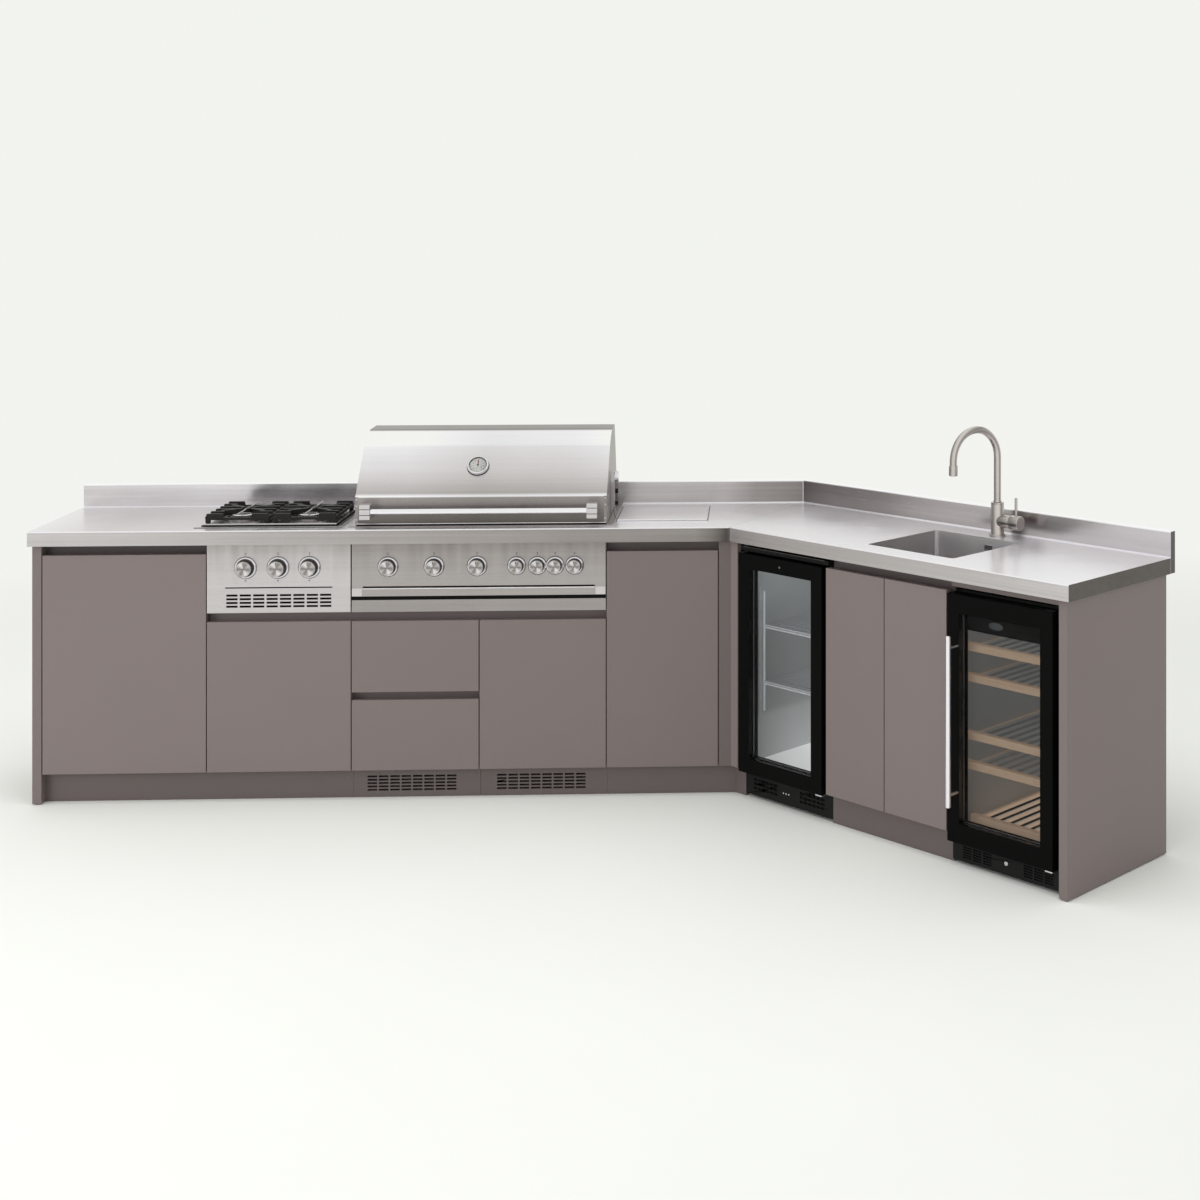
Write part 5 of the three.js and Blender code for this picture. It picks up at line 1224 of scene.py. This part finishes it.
def add_gauge():
    steel = brushed(0.80, 0.18)
    ink = enamel(24, 22, 24)
    parts = [
        coated(turned([
            (29.8, 0.3), (34.6, 0.3), (36, 1.4), (36, 10.4), (35.2, 12.6), (33.8, 13.8),
            (31.6, 14.0), (30.0, 12.8), (29.8, 11),
        ], 80, True), steel),
        coated(turned([(30, 0.4), (30, 8.4), (29, 8.9), (0.5, 8.9)], 64), enamel(236, 236, 232)),
        coated(turned([(4.4, -60), (5, -59), (5, 0.6)], 24), steel),
        coated(turned([(28.4, 8.8), (29.8, 8.8), (29.8, 9.3), (28.4, 9.3)], 64, True), ink),
        coated(turned([(36.3, 0.2), (37.8, 0.2), (37.8, 1.4), (36.3, 1.8)], 64, True), ink),
    ]
    for step in range(DIAL_TICKS + 1):
        turn = math.radians(DIAL_START - step * DIAL_SWEEP / DIAL_TICKS)
        start = 24.6 if step % 4 else 22.6
        tick = block((start, 27), (-0.45, 0.45), (8.8, 9.15), 0)
        parts.append(coated(laid(tick, Matrix.Rotation(turn, 4, "Z")), ink))
    for step in range(DIAL_FIGURES + 1):
        turn = math.radians(DIAL_START - step * DIAL_SWEEP / DIAL_FIGURES)
        number = moved(figure(str(step * 5), 4.6), *around(18.4, turn), 9.0)
        parts.append(coated(number, ink))
    needle = coated(block((-1.3, 1.3), (-5, 19), (9.8, 10.4), 0.3, 1), enamel(120, 40, 30))
    hub = coated(turned([(2.8, 9.6), (2.8, 10.8), (2.0, 11.4), (0.4, 11.5)], 24), ink)
    glass = turned([(30.4, 12.3), (30.4, 12.9), (29.6, 13.2), (0.5, 13.3)])
    gauge = joined(*parts, needle, hub, coated(glass, glazing(0.985)))
    stand = Matrix((Vector((1, 0, 0)), SLOPE_UP, SLOPE_OUT)).transposed().to_4x4()
    laid(gauge, Matrix.Translation(GAUGE) @ stand)
    settled(gauge, "hood_gauge", body="hood", stands_for="hood_thermometer")


def dress_firebox():
    box = dressed("grill_firebox", brushed(0.46, 0.32), 0.6)
    for finish_used, low, high in (
        (black_case(), (-1263, 228, 906), (-1256, 264, 1056)),
        (black_case(), (-400, 225, 930), (-384, 268, 1000)),
        (brushed(0.85, 0.24), (-402, 225, 1010), (-384, 268, 1056)),
        (brushed(0.22, 0.45), (-1229, 79, 716), (-430, 465, 871)),
    ):
        refaced(box, finish_used, RUN, low, high)
    paint("grill_burners", brushed(0.34, 0.4))
    paint("cooking_grate", brushed(0.42, 0.34, 90))
    stay = tube(1.1, [(-388, 246, 942), (-396, 196, 932), (-392, 160, 915), (-384, 132, 903)], 8)
    settled(stay, "spit_stay", brushed(0.16, 0.4))


# Sink and tap, drawn on the leg
DRAIN = (715, 255)
OVERFLOW_X = (739, 775)
OVERFLOW_Z = (859, 877)
TAP = (755, 478)
LEVER_HEIGHT = 950
SPOUT_FOOT = 1009.6
SPOUT_NECK = 146
SPOUT_REACH = 190
SPOUT_TIP = 1135
SPOUT_HEADING = math.radians(10)
TO_THE_SIDE = Matrix.Rotation(math.pi / 2, 4, "Y")


def dress_sink():
    bowl = dressed("sink_bowl", brushed(0.98, 0.36, 45), 0.6)
    # The bowl's floor, its rim's top and its left wall get their own tones: painted shade and light
    # by which way each faces.
    for shade, roughness, low, high, facing in (
        (0.30, 0.40, (541, 81, 708), (889, 429, 713), (0, 0, 1)),
        (0.80, 0.22, (520, 60, 896), (912, 452, 901), (0, 0, 1)),
        (0.52, 0.36, (538, 79, 712), (542, 431, 893), (1, 0, 0)),
    ):
        refaced(bowl, brushed(shade, roughness, 45), LEG, low, high, facing)
    paint("sink_waste", moulded(0.3))
    plate = coated(turned([
        (49, 713.0), (49.4, 713.7), (45, 714.3), (39, 713.2), (33, 712.4), (0.6, 712.2),
    ], 64), brushed(0.8, 0.2))
    # The holes are near-black discs: painted shade where the strainer is open.
    holes = [
        moved(
            turned([(2.1, 712.2), (2.1, 712.75), (1.4, 712.8)], 12),
            *around(radius, 2 * math.pi * step / count),
        )
        for count, radius in ((8, 11), (14, 20), (20, 29))
        for step in range(count)
    ]
    strainer = joined(plate, coated(joined(*holes), moulded(0.01)))
    settled(moved(strainer, *DRAIN), "sink_strainer", None, LEG)
    ring = coated(block(OVERFLOW_X, (427.8, 429.6), OVERFLOW_Z, 0.7), brushed(0.85, 0.2))
    # Near-black bars for the overflow's slots: painted shade in the openings.
    bars = [
        block((742, 772), (427.5, 428.4), (z, z + 2.4), 0.3, 1) for z in (862.4, 867, 871.6)
    ]
    cover = joined(ring, coated(joined(*bars), moulded(0.01)))
    settled(cover, "sink_overflow_cover", None, LEG)


def dress_tap():
    body = turned([
        (25.4, 900.3), (26, 901), (26, 904.4), (25, 905.6), (21.6, 906.2), (21.2, 907.4),
        (21.2, 1003), (20.6, 1004), (20.6, 1005), (21, 1005.8), (20.8, 1008.4), (19.6, 1009.3),
    ], 64)
    side = laid(turned([(19.4, 10), (20, 11), (20, 54.6), (19.4, 55.9)], 56), TO_THE_SIDE)
    moved(side, 0, 0, LEVER_HEIGHT)
    shank = turned([(15.4, 838.2), (16, 839.4), (16, 900.5)], 40)
    tap = moved(joined(body, side, shank), *TAP)
    settled(tap, "tap_stand", satin_nickel(), LEG, stands_for="tap_body")

    cap = turned([
        (20.6, 0.2), (22.4, 0.8), (23, 2.0), (23, 34.6), (22.4, 36.6), (20.8, 37.7),
        (16, 38.0), (0.6, 38.0),
    ], 56)
    moved(laid(cap, TO_THE_SIDE), 56.3, 0, LEVER_HEIGHT)
    pin = turned([(4.5, 968), (4.5, 1026.5), (4.0, 1029.4), (2.6, 1030.7), (0.8, 1031)], 28)
    lever = moved(joined(cap, moved(pin, 75, 0)), *TAP)
    settled(lever, "tap_handle", satin_nickel(), LEG, "lever", "tap_lever")

    radius = SPOUT_REACH / 2
    along = Vector((-math.sin(SPOUT_HEADING), -math.cos(SPOUT_HEADING), 0))
    start = Vector((*TAP, SPOUT_FOOT))
    path = [start, start + Vector((0, 0, SPOUT_NECK / 2))]
    for step in range(25):
        turn = math.pi * step / 24
        out = along * radius * (1 - math.cos(turn))
        path.append(start + out + Vector((0, 0, SPOUT_NECK + radius * math.sin(turn))))
    tip = start + along * SPOUT_REACH
    path.append(Vector((tip.x, tip.y, SPOUT_TIP)))
    bend = tube(11.6, path, 32)
    nozzle = turned([
        (11, 1110.7), (13.4, 1111.4), (14, 1113), (14, 1140), (13.2, 1143.4), (11.8, 1144.5),
    ], 40)
    moved(nozzle, tip.x, tip.y)
    collar = moved(turned([(12.6, 1009.7), (13.4, 1010.4), (13.4, 1014), (12.6, 1014.8)]), *TAP)
    plug = moved(turned([(8.4, 995.8), (8.9, 996.6), (8.9, 1012)], 32), *TAP)
    for part in (bend, nozzle, collar, plug):
        recoated(part, satin_nickel())
    aerator = moved(turned([(9.4, 1110.65), (9.4, 1111.1), (2, 1111.2)], 32), tip.x, tip.y)
    spout = joined(bend, nozzle, collar, plug, coated(aerator, moulded(0.02)))
    settled(spout, "tap_bend", None, LEG, "spout", "tap_spout")


# Fridge and wine cooler, drawn on the leg
SHEET = 0.7
WIRES_A = (60.8, 394.2)
WIRES_B = (98, 499.4)
FRONT_RAIL = WIRES_B[0] + 2.5
WIRE_SPACES = 33
WINE_RAILS_A = (951.4, 1296.6)
WINE_LEVELS = (116, 282, 371, 544, 636)


def lining(name, a, b, z, finish_used, step):
    """Thin moulded sheets over the inside of a cabinet, open to its front."""
    places = [
        ((a[0], a[0] + SHEET), b, z),
        ((a[1] - SHEET, a[1]), b, z),
        (a, (b[1] - SHEET, b[1]), z),
        (a, b, (z[0], z[0] + SHEET)),
        (a, b, (z[1] - SHEET, z[1])),
    ]
    if step:
        places.append((a, (step[0], step[0] + SHEET), (z[0], step[1])))
        places.append((a, (step[0], b[1]), (step[1] - SHEET, step[1])))
    sheets = [block(*place, 0.2, 1) for place in places]
    settled(joined(*sheets), name, finish_used, LEG)


def wire(start, end, radius):
    return rod(radius, start, end, 10, radius * 0.4)


def add_wire_shelves():
    a, (front, back) = WIRES_A, WIRES_B
    parts = []
    rails = []

    def across(b, z, radius):
        return wire((a[0], b, z), (a[1], b, z), radius)

    for foot in (377, 566):
        z = foot + 2.5
        parts += [across(b, z, 2.5) for b in (FRONT_RAIL, front + 34, back - 3)]
        rails += [across(FRONT_RAIL, z - 9, 2.0), across(front + 0.6, z, 1.2)]
        for step in range(WIRE_SPACES + 1):
            x = a[0] + 5 + step * (a[1] - a[0] - 10) / WIRE_SPACES
            rails.append(wire((x, FRONT_RAIL, z - 9), (x, FRONT_RAIL, z + 1.5), 1.4))
            if step % 2 == 0:
                parts.append(wire((x, front + 3, z + 0.6), (x, back - 3, z + 0.6), 1.6))
    for x in (a[0] + 3.6, a[1] - 3.6):
        for b, radius, group in ((front + 3.6, 3.4, rails), (back - 3, 2.5, parts)):
            group.append(wire((x, b, 280.4), (x, b, 679.6), radius))
    shelves = joined(*parts)
    settled(
        shelves, "fridge_wire_shelves", white_wire(0.12), LEG,
        stands_for="fridge_shelves",
    )
    settled(joined(*rails), "fridge_shelf_rails", white_wire(0.75), LEG)
    strips = []
    for x in (a[0] + 1.2, a[1] - 1.2):
        strips.append(block((x - 1, x + 1), (80, 92), (250, 700), 0.4, 1))
        for z in (372, 561):
            strips.append(block((x - 2.4, x + 2.4), (78, 112), (z - 10, z + 2), 0.6, 1))
    settled(joined(*strips), "shelf_strips", white_wire(0.3), LEG)


def frame_of(a, z, b, width):
    """Four thin bars round an opening."""
    sides = (
        ((a[0], a[0] + width), b, z),
        ((a[1] - width, a[1]), b, z),
        (a, b, (z[0], z[0] + width)),
        (a, b, (z[1] - width, z[1])),
    )
    return joined(*[block(*side, 0.4, 1) for side in sides])


def cold_fitting(piece, name, finish_used, body="kitchen"):
    settled(piece, name, finish_used, LEG, body)


def dress_case(name, inside, liner_used, step, add_shelves, door_back):
    """What both cold cabinets have: case, liner, shelves and a glossy door frame."""
    dressed(name + "_cabinet", black_case(), 0.7)
    lining(name + "_liner", *inside, liner_used, step)
    add_shelves()
    door = dressed(name + "_door_frame", black_gloss(), 1.2, name + "_door")
    refaced(door, moulded(0.03), LEG, *door_back, (0, 1, 0))


def dress_glass(name, clear, a, z, width, steel):
    """The door's pane, and the thin metal spacer between its sheets."""
    paint(name + "_door_glass", glazing(clear))
    spacer = frame_of(a, z, (32, 34), width)
    cold_fitting(spacer, name + "_glass_spacer", steel, name + "_door")


def dress_fridge():
    inside = (60.6, 394.4), (70, 499.8), (120.4, 787.6)
    door_back = (31, 54, 91), (409, 58, 819)
    dress_case("fridge", inside, liner(0.125, 0.44), (349, 270.6), add_wire_shelves, door_back)
    dress_glass("fridge", 0.93, (80.4, 359.6), (142.4, 767.6), 3.6, brushed(0.62, 0.3))
    lock = turned([
        (3.4, 0), (3.8, 0.4), (3.8, 1.2), (3.0, 1.6), (1.4, 1.6), (1.2, 1.0), (0.4, 1.0),
    ], 32)
    laid(lock, facing_front(222, 12, 793))
    cold_fitting(lock, "fridge_lock", brushed(0.25, 0.3), "fridge_door")
    strip = block((32, 408), (27.2, 28), (836.4, 837.4), 0.2, 1)
    cold_fitting(strip, "fridge_top_strip", brushed(0.22, 0.3))
    screws = [
        laid(turned([(2.6, 0), (2.6, 0.8), (1.8, 1.4), (0.4, 1.5)], 20), facing_front(a, 50, 46))
        for a in (204, 216, 228)
    ]
    cold_fitting(joined(*screws), "fridge_screws", brushed(0.8, 0.2))
    hinge = block((380, 407), (14, 44), (86.6, 90.8))
    pin = rod(4.2, (394, 26, 84), (394, 26, 91.5), 20)
    cold_fitting(joined(hinge, pin), "fridge_hinge", brushed(0.8, 0.24))
    lamp = block((120, 336), (120, 150), (781, 787), 1.0)
    cold_fitting(lamp, "fridge_lamp", lit_panel(6.0))


def dress_wine():
    inside = (950.6, 1297.4), (62, 499.8), (104.4, 699.6)
    door_back = (921, 54, 72), (1307, 58, 813)
    dress_case("wine", inside, liner(0.095, 0.06), None, add_wine_shelves, door_back)
    dress_glass("wine", 0.91, (967.4, 1261), (132.4, 754.6), 3, brushed(0.5, 0.3))
    panel = coated(block((951, 1297), (58.4, 61), (700.6, 760), 0.6), black_gloss())
    display = turned([(26, 0), (26.6, 0.5), (26, 1.2), (24, 1.4), (0.6, 1.4)])
    laid(display, facing_front(0, 58.6, 0) @ Matrix.Diagonal((1, 0.42, 1, 1)))
    coated(moved(display, 1070, 0, 726), enamel(96, 101, 104))
    cold_fitting(joined(panel, display), "wine_display", None)
    bar = rod(8, (960, -30, 189), (960, -30, 697), 36, 1.2)
    posts = [rod(5.6, (960, -30, z), (960, 12.2, z), 24) for z in (225, 661)]
    settled(
        joined(bar, *posts), "wine_bar_handle",
        brushed(0.92, 0.2, 0, "upright"), LEG, "wine_door", "wine_door_handle",
    )
    lock = turned([
        (6, 0), (6.4, 0.5), (6.4, 1.8), (5.6, 2.4), (2.2, 2.5), (1.8, 1.8), (0.4, 1.8),
    ], 32)
    cold_fitting(laid(lock, facing_front(1120, 42, 44)), "wine_lock", brushed(0.7, 0.2))
    hinge = block((1278, 1304), (14, 44), (67.4, 71.6))
    cold_fitting(hinge, "wine_hinge", brushed(0.8, 0.24))


def add_wine_shelves():
    parts = []
    dark = []
    low = []
    for level, foot in enumerate(WINE_LEVELS):
        front = 66.4 if level else 86.6
        parts.append(block(WINE_RAILS_A, (front, front + 20), (foot, foot + 24), 2.0, 3))
        parts.append(block(WINE_RAILS_A, (480, 498), (foot + 4, foot + 20), 1.6))
        for a in [974 + step * 37.4 for step in range(9)]:
            slat = block((a, a + 20), (front + 18, 482), (foot + 7, foot + 15), 1.2)
            (dark if level else low).append(slat)
        for a in (951.6, 1284.4):
            parts.append(block((a, a + 12), (front + 8, 499), (foot, foot + 9)))
    rails = joined(*parts)
    settled(
        rails, "wine_beech_shelves", beech(0.24), LEG, stands_for="wine_shelves"
    )
    settled(joined(*dark), "wine_dark_slats", liner(0.030, 0.030), LEG)
    # The bottom slats glow more than the rails: painted light.
    bottom = settled(joined(*low), "wine_low_slats", beech(0.55), LEG)
    # Painted shade on the sides of the bottom slats that face along the leg.
    refaced(bottom, moulded(0.02), LEG, (951, 60, 110), (1297, 500, 140), (1, 0, 0))


for step in (
    add_camera, add_world, add_floor, add_lamps, dress_counter, dress_fronts, dress_panels,
    dress_hob, dress_hood, dress_firebox, dress_sink, dress_tap, dress_fridge, dress_wine,
):
    step()
